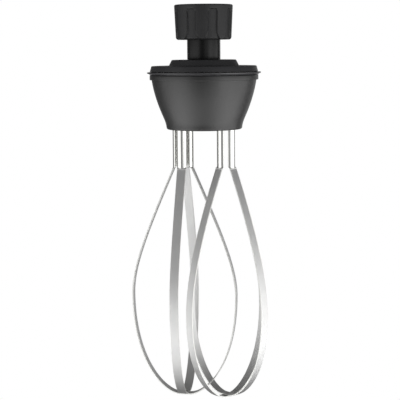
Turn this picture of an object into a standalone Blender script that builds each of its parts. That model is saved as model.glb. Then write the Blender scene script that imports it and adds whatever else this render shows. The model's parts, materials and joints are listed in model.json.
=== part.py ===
"""Double whisk attachment of a hand-held immersion blender.

Metres, +Z up. The origin is the centre of the locking collar's top rim, where the
power unit enters, and everything else hangs below it on the -Z side. Sizes are
written in millimetres and multiplied by MM.
"""
import math

import bmesh
import bpy
from mathutils import Matrix, Vector

MM = 0.001

# Clearances
SEAT_GAP = 0.3 * MM        # between two pieces that rest on each other
RUN_GAP = 0.3 * MM         # between a turning piece and what it turns in
CUT_MARGIN = 2.0 * MM      # how far a cutter stands out of what it cuts

# Facets round a full turn
LARGE_FACETS = 28
NECK_FACETS = 20
SMALL_FACETS = 12
SEAT_FACETS = 16
UPPER_FLANK_STEPS = 6
LOWER_FLANK_STEPS = 2
SCREW_FACETS = 8
EDGE_STEPS = 2            # facets of a rounded edge

# Locking collar
COLLAR_HEIGHT = 32.1 * MM
COLLAR_TOP_RADIUS = 27.1 * MM
COLLAR_TAPER = 1.5 * MM
COLLAR_WALL = 4.9 * MM
COLLAR_TOP_EDGE = 1.2 * MM
COLLAR_FOOT_EDGE = 2.4 * MM
COLLAR_MOUTH_CHAMFER = 1.0 * MM
COLLAR_LIP = 3.0 * MM
GRIP_COUNT = 8
GRIP_ANGLE = math.radians(18.6)
GRIP_HALF_WIDTH = 4.8 * MM
GRIP_DEPTH = 1.1 * MM
GRIP_TOP = 4.0 * MM
GRIP_FOOT = 3.4 * MM
GRIP_CORNER = 2.6 * MM
GRIP_FLARE = 1.8 * MM
GRIP_FLARE_HEIGHT = 4.0 * MM
GRIP_COLUMNS = (-1.0, 0.0, 1.0)

# Neck tube
NECK_RADIUS = 15.4 * MM
NECK_SHOWN = 18.3 * MM
SPIGOT_TOP = 10.0 * MM
SPIGOT_BORE = 11.7 * MM
SPIGOT_EDGE = 0.8 * MM
SHOULDER_GAP = 1.6 * MM    # from the neck's shoulder out to the collar's bore
SHOULDER_STEP = 3.1 * MM
SHOULDER_HEIGHT = 3.3 * MM
FOOT_RADIUS = 14.2 * MM
NECK_INNER_LAND = 9.4 * MM

# Snap ring that keeps the collar on the neck
SNAP_RING_THICKNESS = 1.4 * MM
SNAP_RING_WIDTH = 3.2 * MM
SNAP_GROOVE_DEPTH = 1.0 * MM
SNAP_SINK = 0.7 * MM
SNAP_RING_MOUTH = math.radians(24)

# Upper cover
BOSS_RADIUS = 29.8 * MM
BOSS_FOOT_RADIUS = 32.7 * MM
BOSS_FOOT_BLEND = 0.8 * MM
BOSS_INSET = 1.0 * MM
BOSS_HEIGHT = 5.6 * MM
BOSS_EDGE = 1.3 * MM
BOSS_EDGE_END = math.radians(28)
COVER_SKIRT_RADIUS = 50.2 * MM
COVER_RAKE = 1.5 * MM
COVER_SKIRT_HEIGHT = 5.2 * MM
COVER_EDGE = 0.8 * MM
COVER_EDGE_END = math.radians(10)
COVER_WALL = 3.1 * MM
COVER_ROOF = 3.8 * MM

# Rim gasket between the cover and the bowl
GASKET_THICKNESS = 2.6 * MM
GASKET_REACH = 2.6 * MM
GASKET_TIP = 1.1 * MM
GASKET_TIP_DROP = 0.75 * MM
GASKET_WAIST = 0.4         # share of the lip's reach at which it is still thick
GASKET_WAIST_RISE = 0.65 * MM
GASKET_WAIST_DROP = 0.95 * MM
GASKET_FOOT_STEP = 0.2 * MM

# Gearbox bowl
BOWL_HEIGHT = 50.1 * MM
BAND_PROUD = 0.2 * MM
BAND_HEIGHT = 4.4 * MM
BAND_EDGE = 0.4 * MM
BAND_STEP = 1.7 * MM
BAND_WALL = 4.2 * MM
BAND_LEDGE = 1.9 * MM
BOWL_KNEE_FLARE = 2.6 * MM
BOWL_KNEE_HEIGHT = 10.5 * MM
BOWL_FOOT_RIM = 3.8 * MM
BOWL_FOOT_EDGE = 1.8 * MM
BOWL_FOOT_EDGE_START = math.radians(15)
BOWL_SHOULDER_SLOPE = math.radians(9)
BOWL_KNEE_SLOPE = math.radians(24)
BOWL_FOOT_SLOPE = math.radians(8)
BOWL_WALL = 3.0 * MM
BOWL_INNER_STEP = 1.0 * MM
BOWL_FLOOR = 4.0 * MM
BOSS_ROOT = 0.4            # share of the floor that the bowl's bosses reach down into

# Neck ring nut, under the cover's roof
NUT_RADIUS = 19.0 * MM
NUT_NOTCH_COUNT = 4
NUT_NOTCH_WIDTH = 4.0 * MM
NUT_NOTCH_DEPTH = 1.6 * MM

# Bearing plate
PLATE_THICKNESS = 4.0 * MM
PLATE_SEAT_WALL = 2.1 * MM
PLATE_SEAT_SKIN = 1.2 * MM
PLATE_SEAT_LIP = 0.1 * MM

# Bearings, bushes and seals
INPUT_BEARING_RADIUS = 11.0 * MM
INPUT_BEARING_HEIGHT = 7.0 * MM
SPINDLE_BEARING_HEIGHT = 4.5 * MM
BEARING_GROOVE = 0.4 * MM
BEARING_CIRCLIP_THICKNESS = 1.0 * MM
BEARING_CIRCLIP_WIDTH = 2.6 * MM
BEARING_CIRCLIP_GROOVE = 0.7 * MM
BUSH_RADIUS = 9.8 * MM
BUSH_HEIGHT = 7.0 * MM
SEAL_HEIGHT = 3.0 * MM
SHAFT_SEAL_SHARE = 0.375   # of the span from the input shaft to a spindle's journal
BEARING_SHARE = 0.317      # of the same span

# Drive coupling and pinion shaft
COUPLING_RADIUS = 8.4 * MM
COUPLING_HEIGHT = 13.0 * MM
COUPLING_SINK = 2.0 * MM
SOCKET_FLATS = 9.0 * MM
SOCKET_DEPTH = 8.5 * MM
COUPLING_EDGE = 1.0 * MM
PIN_RADIUS = 1.25 * MM
SHAFT_RADIUS = 4.0 * MM
SHAFT_WAIST_RADIUS = 5.6 * MM
SHAFT_BORE_OVERLAP = 0.5 * MM
CIRCLIP_BELOW_COUPLING = 3.0 * MM

# Gears
GEAR_CASE_GAP = 3.66 * MM
SYNC_TEETH = 20
PINION_TEETH = 12
DRIVE_TEETH = 28
PRESSURE_ANGLE = math.radians(25)
BACKLASH = 0.24 * MM
DRIVE_FACE = 6.0 * MM
SYNC_FACE = 6.2 * MM
GEAR_STEP = 0.5 * MM
PINION_PROUD = 0.2 * MM
GEAR_HUB_PHASE = 0.1
GEAR_HUB_WALL = 1.1 * MM
ADDENDUM = 0.92
DEDENDUM = 1.2
FLANK_POINTS = 2

# Whisk spindles and hubs
SPINDLE_RADIUS = 6.0 * MM
JOURNAL_RADIUS = 4.0 * MM
SPINDLE_TAIL_RADIUS = 4.6 * MM
SPINDLE_FLAT = 0.6 * MM
SPINDLE_TAIL_EDGE = 0.4 * MM
GEAR_CIRCLIP_THICKNESS = 1.0 * MM
GEAR_CIRCLIP_WIDTH = 2.6 * MM
GEAR_CIRCLIP_GROOVE = 0.8 * MM
CIRCLIP_MOUTH = math.radians(50)
HUB_WALL = 0.9 * MM
HUB_SINK = 0.2 * MM
HUB_HEIGHT = 8.2 * MM
HUB_EDGE = 0.5 * MM
HUB_POCKET_DEPTH = 6.2 * MM
HUB_RUN_GAP = 0.4 * MM
SEAT_BOSS_WALL = 2.9 * MM
SEAT_LIP = 0.4 * MM

# Whisk strips
STRIP_WIDTH = 8.15 * MM
STRIP_THICKNESS = 1.1 * MM
LEG_CHORD = 9.4 * MM
LEG_SAGITTA = 3.0 * MM
LEG_CROWN_RADIUS = 9.8 * MM
LEG_SHOWN = 36.8 * MM
LEG_RUNOUT = 3.2 * MM
KINK_LEAD = 0.3 * MM
KINK_ANGLE = math.radians(24)
KINK_RADIUS = 3.0 * MM
CURVE_STATIONS = 8
ACROSS = 5

# The balloon of each whisk: how far it stays inside the band, drop to the widest point, whole drop
LEFT_INSET = 0.8 * MM
LEFT_WIDEST_DROP = 120.0 * MM
LEFT_DROP = 215.6 * MM
LEFT_ANGLE = math.radians(-10.8)
RIGHT_INSET = 1.6 * MM
RIGHT_WIDEST_DROP = 136.5 * MM
RIGHT_DROP = 218.3 * MM
RIGHT_ANGLE = math.radians(43.5)
UPPER_HANDLE = 0.55
WIDEST_HANDLE_ABOVE = 0.20
WIDEST_HANDLE_BELOW = 0.70
FOOT_HANDLE = 0.40
FOOT_FLAT = STRIP_WIDTH / 2 + 0.4 * MM

# Screws
HOUSING_SCREW_OFFSET = 24.0 * MM
HOUSING_SCREW_RADIUS = 1.9 * MM
HOUSING_HEAD_RADIUS = 3.6 * MM
HOUSING_HEAD_HEIGHT = 2.4 * MM
HOUSING_HEAD_SINK = 0.7 * MM
SCREW_BOSS_WALL = 2.4 * MM
PLATE_SCREW_CIRCLE = 24.5 * MM
PLATE_SCREW_ANGLE = math.radians(55)
PLATE_SCREW_RADIUS = 1.35 * MM
PLATE_HEAD_RADIUS = 2.6 * MM
PLATE_HEAD_HEIGHT = 1.8 * MM
PLATE_BOSS_RADIUS = 3.5 * MM
PLATE_BOSS_OVERLAP = 1.0 * MM
HOLE_OVERLAP = 0.2 * MM
SCREW_EDGE = 0.5 * MM
SCREW_END_GAP = 0.4 * MM
SCREW_TIP = 0.4            # share of the shank's radius that its end is chamfered by

# The collar's and the neck's radii, from the collar's rim inwards
COLLAR_FOOT_RADIUS = COLLAR_TOP_RADIUS - COLLAR_TAPER
COLLAR_BORE = COLLAR_TOP_RADIUS - COLLAR_WALL
SHOULDER_RADIUS = COLLAR_BORE - SHOULDER_GAP
SPIGOT_RADIUS = SHOULDER_RADIUS - SHOULDER_STEP

# The housing's radii, from the cover's skirt inwards
BAND_RADIUS = COVER_SKIRT_RADIUS + BAND_PROUD
COVER_RADIUS = COVER_SKIRT_RADIUS - COVER_RAKE
PLATE_RADIUS = COVER_SKIRT_RADIUS - COVER_WALL - 2 * SEAT_GAP
BOWL_SHOULDER_RADIUS = BAND_RADIUS - BAND_LEDGE

# The two synchronising gears, side by side, fill the bowl from wall to wall
GEAR_REACH = BOWL_SHOULDER_RADIUS - BOWL_WALL - GEAR_CASE_GAP
SPINDLE_SPACING = GEAR_REACH / (1 + ADDENDUM / SYNC_TEETH)
SPINDLE_X = SPINDLE_SPACING / 2
SHAFT_TO_JOURNAL = SPINDLE_X - SHAFT_RADIUS - JOURNAL_RADIUS
SHAFT_SEAL_RADIUS = SHAFT_RADIUS + SHAFT_SEAL_SHARE * SHAFT_TO_JOURNAL
SPINDLE_BEARING_RADIUS = JOURNAL_RADIUS + BEARING_SHARE * SHAFT_TO_JOURNAL
LEFT_HALF_WIDTH = BAND_RADIUS - LEFT_INSET
RIGHT_HALF_WIDTH = BAND_RADIUS - RIGHT_INSET

# Heights that follow from the sizes above, from the collar's rim downwards
COLLAR_FOOT_Z = -COLLAR_HEIGHT
BOSS_TOP_Z = COLLAR_FOOT_Z - NECK_SHOWN
COVER_TOP_Z = BOSS_TOP_Z - BOSS_HEIGHT
SKIRT_Z = COVER_TOP_Z - COVER_SKIRT_HEIGHT
GASKET_TOP_Z = SKIRT_Z - SEAT_GAP
GASKET_FOOT_Z = GASKET_TOP_Z - GASKET_THICKNESS
RIM_Z = GASKET_FOOT_Z - SEAT_GAP
BOWL_FOOT_Z = RIM_Z - BOWL_HEIGHT
FLOOR_Z = BOWL_FOOT_Z + BOWL_FLOOR
BOSS_ROOF_Z = BOSS_TOP_Z - COVER_ROOF
COVER_ROOF_Z = COVER_TOP_Z - COVER_WALL
PLATE_TOP_Z = COVER_ROOF_Z - SEAT_GAP
PLATE_FOOT_Z = PLATE_TOP_Z - PLATE_THICKNESS
SPIGOT_Z = -SPIGOT_TOP
NECK_FOOT_Z = PLATE_TOP_Z + SEAT_GAP

# The collar's foot recess holds the snap ring, then its lip, then the neck's shoulder
SNAP_RECESS_DEPTH = SNAP_RING_THICKNESS + 2 * SEAT_GAP + SNAP_SINK
LIP_FOOT_Z = COLLAR_FOOT_Z + SNAP_RECESS_DEPTH
LIP_TOP_Z = LIP_FOOT_Z + COLLAR_LIP
SHOULDER_FOOT_Z = LIP_TOP_Z + RUN_GAP
SHOULDER_TOP_Z = SHOULDER_FOOT_Z + SHOULDER_HEIGHT
SNAP_TOP_Z = LIP_FOOT_Z - SEAT_GAP
SNAP_FOOT_Z = SNAP_TOP_Z - SNAP_RING_THICKNESS
SNAP_INNER = NECK_RADIUS - SNAP_GROOVE_DEPTH + SEAT_GAP
SNAP_OUTER = SNAP_INNER + SNAP_RING_WIDTH

# The input shaft's stack inside the neck
LOWER_INPUT_FOOT_Z = NECK_FOOT_Z
LOWER_INPUT_TOP_Z = LOWER_INPUT_FOOT_Z + INPUT_BEARING_HEIGHT
COUPLING_TOP_Z = SPIGOT_Z - COUPLING_SINK
COUPLING_FOOT_Z = COUPLING_TOP_Z - COUPLING_HEIGHT
INPUT_CIRCLIP_TOP_Z = COUPLING_FOOT_Z - CIRCLIP_BELOW_COUPLING
INPUT_CIRCLIP_FOOT_Z = INPUT_CIRCLIP_TOP_Z - BEARING_CIRCLIP_THICKNESS
UPPER_INPUT_TOP_Z = INPUT_CIRCLIP_FOOT_Z - SEAT_GAP
UPPER_INPUT_FOOT_Z = UPPER_INPUT_TOP_Z - INPUT_BEARING_HEIGHT
SHAFT_TOP_Z = COUPLING_TOP_Z - SOCKET_DEPTH - SEAT_GAP
PIN_Z = (SHAFT_TOP_Z + COUPLING_FOOT_Z) / 2

# The spindles' stack, from the bearing plate down
SPINDLE_BEARING_TOP_Z = PLATE_TOP_Z - PLATE_SEAT_SKIN
SPINDLE_BEARING_FOOT_Z = SPINDLE_BEARING_TOP_Z - SPINDLE_BEARING_HEIGHT
PLATE_SEAT_FOOT_Z = SPINDLE_BEARING_FOOT_Z - PLATE_SEAT_LIP
GEAR_HUB_TOP_Z = SPINDLE_BEARING_FOOT_Z - SEAT_GAP
DRIVE_TOP_Z = GEAR_HUB_TOP_Z - 2 * GEAR_STEP
DRIVE_FOOT_Z = DRIVE_TOP_Z - DRIVE_FACE
GEAR_HUB_FOOT_Z = DRIVE_FOOT_Z - GEAR_STEP
SYNC_TOP_Z = GEAR_HUB_FOOT_Z - SEAT_GAP
SYNC_FOOT_Z = SYNC_TOP_Z - SYNC_FACE
CIRCLIP_TOP_Z = SYNC_FOOT_Z - SEAT_GAP
CIRCLIP_FOOT_Z = CIRCLIP_TOP_Z - GEAR_CIRCLIP_THICKNESS
HUB_FOOT_Z = BOWL_FOOT_Z + HUB_SINK
HUB_TOP_Z = HUB_FOOT_Z + HUB_HEIGHT
HUB_RADIUS = LEG_CROWN_RADIUS + SEAT_GAP + HUB_WALL
HUB_BORE = HUB_RADIUS + HUB_RUN_GAP
BOWL_FOOT_RADIUS = SPINDLE_X + HUB_BORE + BOWL_FOOT_RIM
BOWL_KNEE_RADIUS = BOWL_FOOT_RADIUS + BOWL_KNEE_FLARE
SEAT_FOOT_Z = HUB_TOP_Z + RUN_GAP + SEAT_LIP
SEAL_FOOT_Z = SEAT_FOOT_Z + SEAT_GAP
SEAL_TOP_Z = SEAL_FOOT_Z + SEAL_HEIGHT
BUSH_FOOT_Z = SEAL_TOP_Z + SEAT_GAP
BUSH_TOP_Z = BUSH_FOOT_Z + BUSH_HEIGHT
SEAT_RADIUS = BUSH_RADIUS + SEAT_GAP
SEAT_BOSS_RADIUS = SEAT_RADIUS + SEAT_BOSS_WALL

# The strips' heights
POCKET_TOP_Z = HUB_FOOT_Z + HUB_POCKET_DEPTH
LEG_TOP_Z = POCKET_TOP_Z - SEAT_GAP
KINK_Z = BOWL_FOOT_Z - LEG_SHOWN
LEG_RADIUS = LEG_CROWN_RADIUS - STRIP_THICKNESS / 2

SYNC_MODULE = SPINDLE_SPACING / SYNC_TEETH
DRIVE_MODULE = SPINDLE_SPACING / (PINION_TEETH + DRIVE_TEETH)
HOUSING_SCREWS = [(0.0, -HOUSING_SCREW_OFFSET), (0.0, HOUSING_SCREW_OFFSET)]
PLATE_SCREW_X = PLATE_SCREW_CIRCLE * math.cos(PLATE_SCREW_ANGLE)
PLATE_SCREW_Y = PLATE_SCREW_CIRCLE * math.sin(PLATE_SCREW_ANGLE)
PLATE_SCREWS = [(side * PLATE_SCREW_X, end * PLATE_SCREW_Y) for side in (-1, 1) for end in (-1, 1)]


def clear_scene():
    for obj in list(bpy.data.objects):
        bpy.data.objects.remove(obj, do_unlink=True)


def make_material(name, color, roughness, metallic=0.0):
    material = bpy.data.materials.new(name)
    material.use_nodes = True
    shader = material.node_tree.nodes["Principled BSDF"]
    shader.inputs["Base Color"].default_value = (*color, 1.0)
    shader.inputs["Roughness"].default_value = roughness
    shader.inputs["Metallic"].default_value = metallic
    material.diffuse_color = (*color, 1.0)
    return material


def finish_object(name, bm, material=None, sharp=math.radians(32)):
    """Turn a bmesh into a named object with its faces pointing out."""
    bmesh.ops.recalc_face_normals(bm, faces=bm.faces)
    mesh = bpy.data.meshes.new(name)
    bm.to_mesh(mesh)
    bm.free()
    mesh.shade_smooth()
    mesh.set_sharp_from_angle(angle=sharp)
    obj = bpy.data.objects.new(name, mesh)
    bpy.context.collection.objects.link(obj)
    if material:
        mesh.materials.append(material)
    return obj


def add_boolean(obj, name, bm, operation="DIFFERENCE"):
    """Cut obj by, or join it to, the shape in bm, which stays as a hidden guide."""
    guide = finish_object(name, bm)
    guide.hide_render = True
    guide.display_type = "WIRE"
    modifier = obj.modifiers.new(name, "BOOLEAN")
    modifier.operation = operation
    modifier.solver = "EXACT"
    modifier.object = guide
    return guide


def arc(centre, radius, start, end, steps):
    """Points on an arc in the (radius, height) plane, angles in radians."""
    points = []
    for step in range(steps + 1):
        angle = start + (end - start) * step / steps
        points.append((centre[0] + radius * math.cos(angle), centre[1] + radius * math.sin(angle)))
    return points


def add_turned(bm, profile, facets, centre=(0.0, 0.0)):
    """Revolve a closed (radius, height) outline about the vertical axis through centre."""
    rings = []
    for radius, height in profile:
        if radius < 1e-9:
            rings.append([bm.verts.new((centre[0], centre[1], height))])
            continue
        ring = []
        for index in range(facets):
            angle = 2 * math.pi * index / facets
            ring.append(bm.verts.new((
                centre[0] + radius * math.cos(angle), centre[1] + radius * math.sin(angle), height)))
        rings.append(ring)
    on_axis = len(rings[0]) == 1 and len(rings[-1]) == 1
    pairs = list(zip(rings, rings[1:]))
    if not on_axis:
        pairs.append((rings[-1], rings[0]))
    for lower, upper in pairs:
        for index in range(facets):
            following = (index + 1) % facets
            corners = [lower[index % len(lower)], lower[following % len(lower)],
                       upper[following % len(upper)], upper[index % len(upper)]]
            bm.faces.new(list(dict.fromkeys(corners)))
    return bm


def turned(profile, facets, centre=(0.0, 0.0)):
    return add_turned(bmesh.new(), profile, facets, centre)


def tube_profile(inner, outer, foot, top):
    return [(inner, foot), (outer, foot), (outer, top), (inner, top)]


def rod_profile(radius, foot, top):
    return [(0.0, foot), (radius, foot), (radius, top), (0.0, top)]


def add_prism(bm, outline, foot, top, hole=None):
    """Extrude a flat outline, with an optional hole, from foot up to top."""
    edges = []
    for points in [outline] + ([hole] if hole else []):
        loop = [bm.verts.new((x, y, foot)) for x, y in points]
        edges += [bm.edges.new((loop[i], loop[(i + 1) % len(loop)])) for i in range(len(loop))]
    faces = bmesh.ops.triangle_fill(bm, edges=edges, use_beauty=True)["geom"]
    faces = [item for item in faces if isinstance(item, bmesh.types.BMFace)]
    raised = bmesh.ops.extrude_face_region(bm, geom=faces)["geom"]
    verts = [item for item in raised if isinstance(item, bmesh.types.BMVert)]
    bmesh.ops.translate(bm, verts=verts, vec=(0, 0, top - foot))
    return bm


def circle_points(radius, facets, centre=(0.0, 0.0), phase=0.0):
    return [(centre[0] + radius * math.cos(phase + 2 * math.pi * i / facets),
             centre[1] + radius * math.sin(phase + 2 * math.pi * i / facets)) for i in range(facets)]


def flatted_circle(radius, flat, facets, centre):
    """A round outline with its +Y side cut to a flat, as on a keyed spindle."""
    limit = radius - flat
    half_angle = math.acos(limit / radius)
    start = math.pi / 2 + half_angle
    span = 2 * math.pi - 2 * half_angle
    return [(centre[0] + radius * math.cos(start + span * i / facets),
             centre[1] + radius * math.sin(start + span * i / facets)) for i in range(facets + 1)]


def split_ring(inner, outer, mouth, direction, facets):
    """Outline of an open ring: the gap of angle mouth faces direction."""
    start = direction + mouth / 2
    span = 2 * math.pi - mouth
    angles = [start + span * i / facets for i in range(facets + 1)]
    outside = [(outer * math.cos(a), outer * math.sin(a)) for a in angles]
    inside = [(inner * math.cos(a), inner * math.sin(a)) for a in reversed(angles)]
    return outside + inside


def involute(angle):
    return math.tan(angle) - angle


def gear_outline(teeth, module, phase, centre):
    """Spur gear outline: involute flanks thinned by half the backlash on each gear."""
    pitch = teeth * module / 2
    base = pitch * math.cos(PRESSURE_ANGLE)
    tip = pitch + ADDENDUM * module
    root = pitch - DEDENDUM * module
    half_tooth = (math.pi * module / 2 - BACKLASH / 2) / 2 / pitch
    start = max(base, root)

    def half_angle(radius):
        return half_tooth + involute(PRESSURE_ANGLE) - involute(math.acos(min(1.0, base / radius)))

    flank = [start + (tip - start) * i / (FLANK_POINTS - 1) for i in range(FLANK_POINTS)]
    points = []
    for tooth in range(teeth):
        middle = phase + 2 * math.pi * tooth / teeth
        side = [(radius, half_angle(radius)) for radius in flank]
        if root < base:
            side.insert(0, (root, half_angle(base)))
        points += [(radius, middle - half) for radius, half in side]
        points += [(radius, middle + half) for radius, half in reversed(side)]
    return [(centre[0] + r * math.cos(a), centre[1] + r * math.sin(a)) for r, a in points]


def collar_radius(height):
    """Radius of the collar's tapered side at a height below the rim."""
    share = -height / COLLAR_HEIGHT
    return COLLAR_TOP_RADIUS + (COLLAR_FOOT_RADIUS - COLLAR_TOP_RADIUS) * share


def grip_half_width(height):
    """Half width of a grip recess: rounded at its top, flared at its foot."""
    below_top = -GRIP_TOP - height
    above_foot = height - (COLLAR_FOOT_Z + GRIP_FOOT)
    width = GRIP_HALF_WIDTH
    if below_top < GRIP_CORNER:
        width -= GRIP_CORNER - math.sqrt(max(0.0, GRIP_CORNER ** 2 - (GRIP_CORNER - below_top) ** 2))
    if above_foot < GRIP_FLARE_HEIGHT:
        width += GRIP_FLARE * (1 - above_foot / GRIP_FLARE_HEIGHT) ** 2
    return width


def grip_cutter():
    """The recesses' cutters, each a block bent round the collar's side."""
    top = -GRIP_TOP
    foot = COLLAR_FOOT_Z + GRIP_FOOT
    turns = [math.pi / 2 * i / EDGE_STEPS for i in range(EDGE_STEPS + 1)]
    heights = [top - GRIP_CORNER * (1 - math.cos(turn)) for turn in turns]
    heights += [foot + GRIP_FLARE_HEIGHT * (1 - i / 2) for i in range(3)]
    bm = bmesh.new()
    for index in range(GRIP_COUNT):
        middle = -math.pi / 2 + GRIP_ANGLE + 2 * math.pi * index / GRIP_COUNT
        shells = []
        for depth in (-GRIP_DEPTH, CUT_MARGIN):
            grid = []
            for height in heights:
                radius = collar_radius(height) + depth
                spread = grip_half_width(height) / collar_radius(height)
                angles = [middle + spread * column for column in GRIP_COLUMNS]
                places = [(radius * math.cos(angle), radius * math.sin(angle), height) for angle in angles]
                grid.append([bm.verts.new(place) for place in places])
            shells.append(grid)
        inner, outer = shells
        rows, count = len(heights), len(GRIP_COLUMNS)
        for r in range(rows - 1):
            for c in range(count - 1):
                bm.faces.new((inner[r][c], inner[r][c + 1], inner[r + 1][c + 1], inner[r + 1][c]))
                bm.faces.new((outer[r][c], outer[r + 1][c], outer[r + 1][c + 1], outer[r][c + 1]))
        border = [(0, c) for c in range(count)] + [(r, count - 1) for r in range(1, rows)]
        border += [(rows - 1, c) for c in reversed(range(count - 1))]
        border += [(r, 0) for r in reversed(range(1, rows - 1))]
        for here, there in zip(border, border[1:] + border[:1]):
            bm.faces.new((inner[here[0]][here[1]], inner[there[0]][there[1]],
                          outer[there[0]][there[1]], outer[here[0]][here[1]]))
    return bm


def build_locking_collar(material):
    top_edge = arc((COLLAR_TOP_RADIUS - COLLAR_TOP_EDGE, -COLLAR_TOP_EDGE), COLLAR_TOP_EDGE,
                   math.pi / 2, 0, EDGE_STEPS)
    foot_edge = arc((COLLAR_FOOT_RADIUS - COLLAR_FOOT_EDGE, COLLAR_FOOT_Z + COLLAR_FOOT_EDGE),
                    COLLAR_FOOT_EDGE, 0, -math.pi / 2, EDGE_STEPS)
    recess = SNAP_OUTER + 2 * SEAT_GAP
    lip = NECK_RADIUS + RUN_GAP
    profile = top_edge + foot_edge + [
        (recess, COLLAR_FOOT_Z), (recess, LIP_FOOT_Z), (lip, LIP_FOOT_Z), (lip, LIP_TOP_Z),
        (COLLAR_BORE, LIP_TOP_Z), (COLLAR_BORE, -COLLAR_MOUTH_CHAMFER),
        (COLLAR_BORE + COLLAR_MOUTH_CHAMFER, 0.0)]
    collar = finish_object("locking_collar", turned(profile, LARGE_FACETS), material)
    add_boolean(collar, "grip_recesses", grip_cutter())
    return collar


def build_snap_ring(material):
    outline = split_ring(SNAP_INNER, SNAP_OUTER, SNAP_RING_MOUTH, math.pi / 2, NECK_FACETS)
    bm = add_prism(bmesh.new(), outline, SNAP_FOOT_Z, SNAP_TOP_Z)
    return finish_object("collar_snap_ring", bm, material)


def build_neck_tube(material):
    groove = NECK_RADIUS - SNAP_GROOVE_DEPTH
    bearing_seat = INPUT_BEARING_RADIUS + SEAT_GAP
    circlip_groove = SPIGOT_BORE + BEARING_CIRCLIP_GROOVE
    ledge = BOSS_TOP_Z + SEAT_GAP
    profile = [
        (SPIGOT_BORE, SPIGOT_Z), (SPIGOT_RADIUS - SPIGOT_EDGE, SPIGOT_Z),
        (SPIGOT_RADIUS, SPIGOT_Z - SPIGOT_EDGE), (SPIGOT_RADIUS, SHOULDER_TOP_Z),
        (SHOULDER_RADIUS, SHOULDER_TOP_Z),
        (SHOULDER_RADIUS, SHOULDER_FOOT_Z), (NECK_RADIUS, SHOULDER_FOOT_Z),
        (NECK_RADIUS, SNAP_TOP_Z + SEAT_GAP), (groove, SNAP_TOP_Z + SEAT_GAP),
        (groove, SNAP_FOOT_Z - SEAT_GAP), (NECK_RADIUS, SNAP_FOOT_Z - SEAT_GAP), (NECK_RADIUS, ledge),
        (FOOT_RADIUS, ledge), (FOOT_RADIUS, NECK_FOOT_Z), (bearing_seat, NECK_FOOT_Z),
        (bearing_seat, LOWER_INPUT_TOP_Z + SEAT_GAP), (NECK_INNER_LAND, LOWER_INPUT_TOP_Z + SEAT_GAP),
        (NECK_INNER_LAND, UPPER_INPUT_FOOT_Z - SEAT_GAP), (bearing_seat, UPPER_INPUT_FOOT_Z - SEAT_GAP),
        (bearing_seat, INPUT_CIRCLIP_FOOT_Z - SEAT_GAP), (circlip_groove, INPUT_CIRCLIP_FOOT_Z - SEAT_GAP),
        (circlip_groove, INPUT_CIRCLIP_TOP_Z + SEAT_GAP), (SPIGOT_BORE, INPUT_CIRCLIP_TOP_Z + SEAT_GAP)]
    return finish_object("neck_tube", turned(profile, NECK_FACETS), material)


def build_neck_nut(material):
    """Ring nut with notches for a pin spanner, screwed on the neck's foot."""
    foot = PLATE_TOP_Z + SEAT_GAP
    top = BOSS_ROOF_Z - SEAT_GAP
    ring = turned(tube_profile(FOOT_RADIUS + SEAT_GAP, NUT_RADIUS, foot, top), NECK_FACETS)
    nut = finish_object("neck_nut", ring, material)
    bm = bmesh.new()
    for index in range(NUT_NOTCH_COUNT):
        turn = Matrix.Rotation(math.pi / 4 + 2 * math.pi * index / NUT_NOTCH_COUNT, 4, "Z")
        reach = NUT_RADIUS - NUT_NOTCH_DEPTH
        corners = [(reach, -NUT_NOTCH_WIDTH / 2), (reach + 2 * CUT_MARGIN, -NUT_NOTCH_WIDTH / 2),
                   (reach + 2 * CUT_MARGIN, NUT_NOTCH_WIDTH / 2), (reach, NUT_NOTCH_WIDTH / 2)]
        outline = [(turn @ Vector((x, y, 0))).to_2d() for x, y in corners]
        add_prism(bm, outline, foot - CUT_MARGIN, top + CUT_MARGIN)
    add_boolean(nut, "nut_notches", bm)
    return nut


def build_upper_cover(material):
    bore = FOOT_RADIUS + SEAT_GAP
    inner = COVER_SKIRT_RADIUS - COVER_WALL
    boss_edge = arc((BOSS_RADIUS - BOSS_EDGE, BOSS_TOP_Z - BOSS_EDGE), BOSS_EDGE,
                    math.pi / 2, BOSS_EDGE_END, EDGE_STEPS)
    rim_edge = arc((COVER_RADIUS - COVER_EDGE, COVER_TOP_Z - COVER_EDGE), COVER_EDGE,
                   math.pi / 2, COVER_EDGE_END, EDGE_STEPS)
    profile = [(bore, BOSS_TOP_Z)] + boss_edge + [
        (BOSS_FOOT_RADIUS - BOSS_FOOT_BLEND / 2, COVER_TOP_Z + BOSS_FOOT_BLEND),
        (BOSS_FOOT_RADIUS + BOSS_FOOT_BLEND, COVER_TOP_Z)]
    profile += rim_edge + [
        (COVER_SKIRT_RADIUS, SKIRT_Z), (inner, SKIRT_Z), (inner, COVER_ROOF_Z),
        (BOSS_FOOT_RADIUS - BOSS_INSET, COVER_ROOF_Z), (BOSS_RADIUS - BOSS_INSET, BOSS_ROOF_Z),
        (bore, BOSS_ROOF_Z)]
    cover = finish_object("upper_cover", turned(profile, LARGE_FACETS), material)
    bosses = bmesh.new()
    holes = bmesh.new()
    boss_foot = PLATE_TOP_Z + SEAT_GAP
    for place in PLATE_SCREWS:
        add_turned(bosses, rod_profile(PLATE_BOSS_RADIUS, boss_foot, BOSS_ROOF_Z + PLATE_BOSS_OVERLAP),
                   SCREW_FACETS, place)
        add_turned(holes, rod_profile(PLATE_SCREW_RADIUS + SEAT_GAP, boss_foot - CUT_MARGIN,
                                      BOSS_ROOF_Z + HOLE_OVERLAP), SCREW_FACETS, place)
    add_boolean(cover, "plate_screw_bosses", bosses, "UNION")
    add_boolean(cover, "plate_screw_holes", holes)
    return cover


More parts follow.
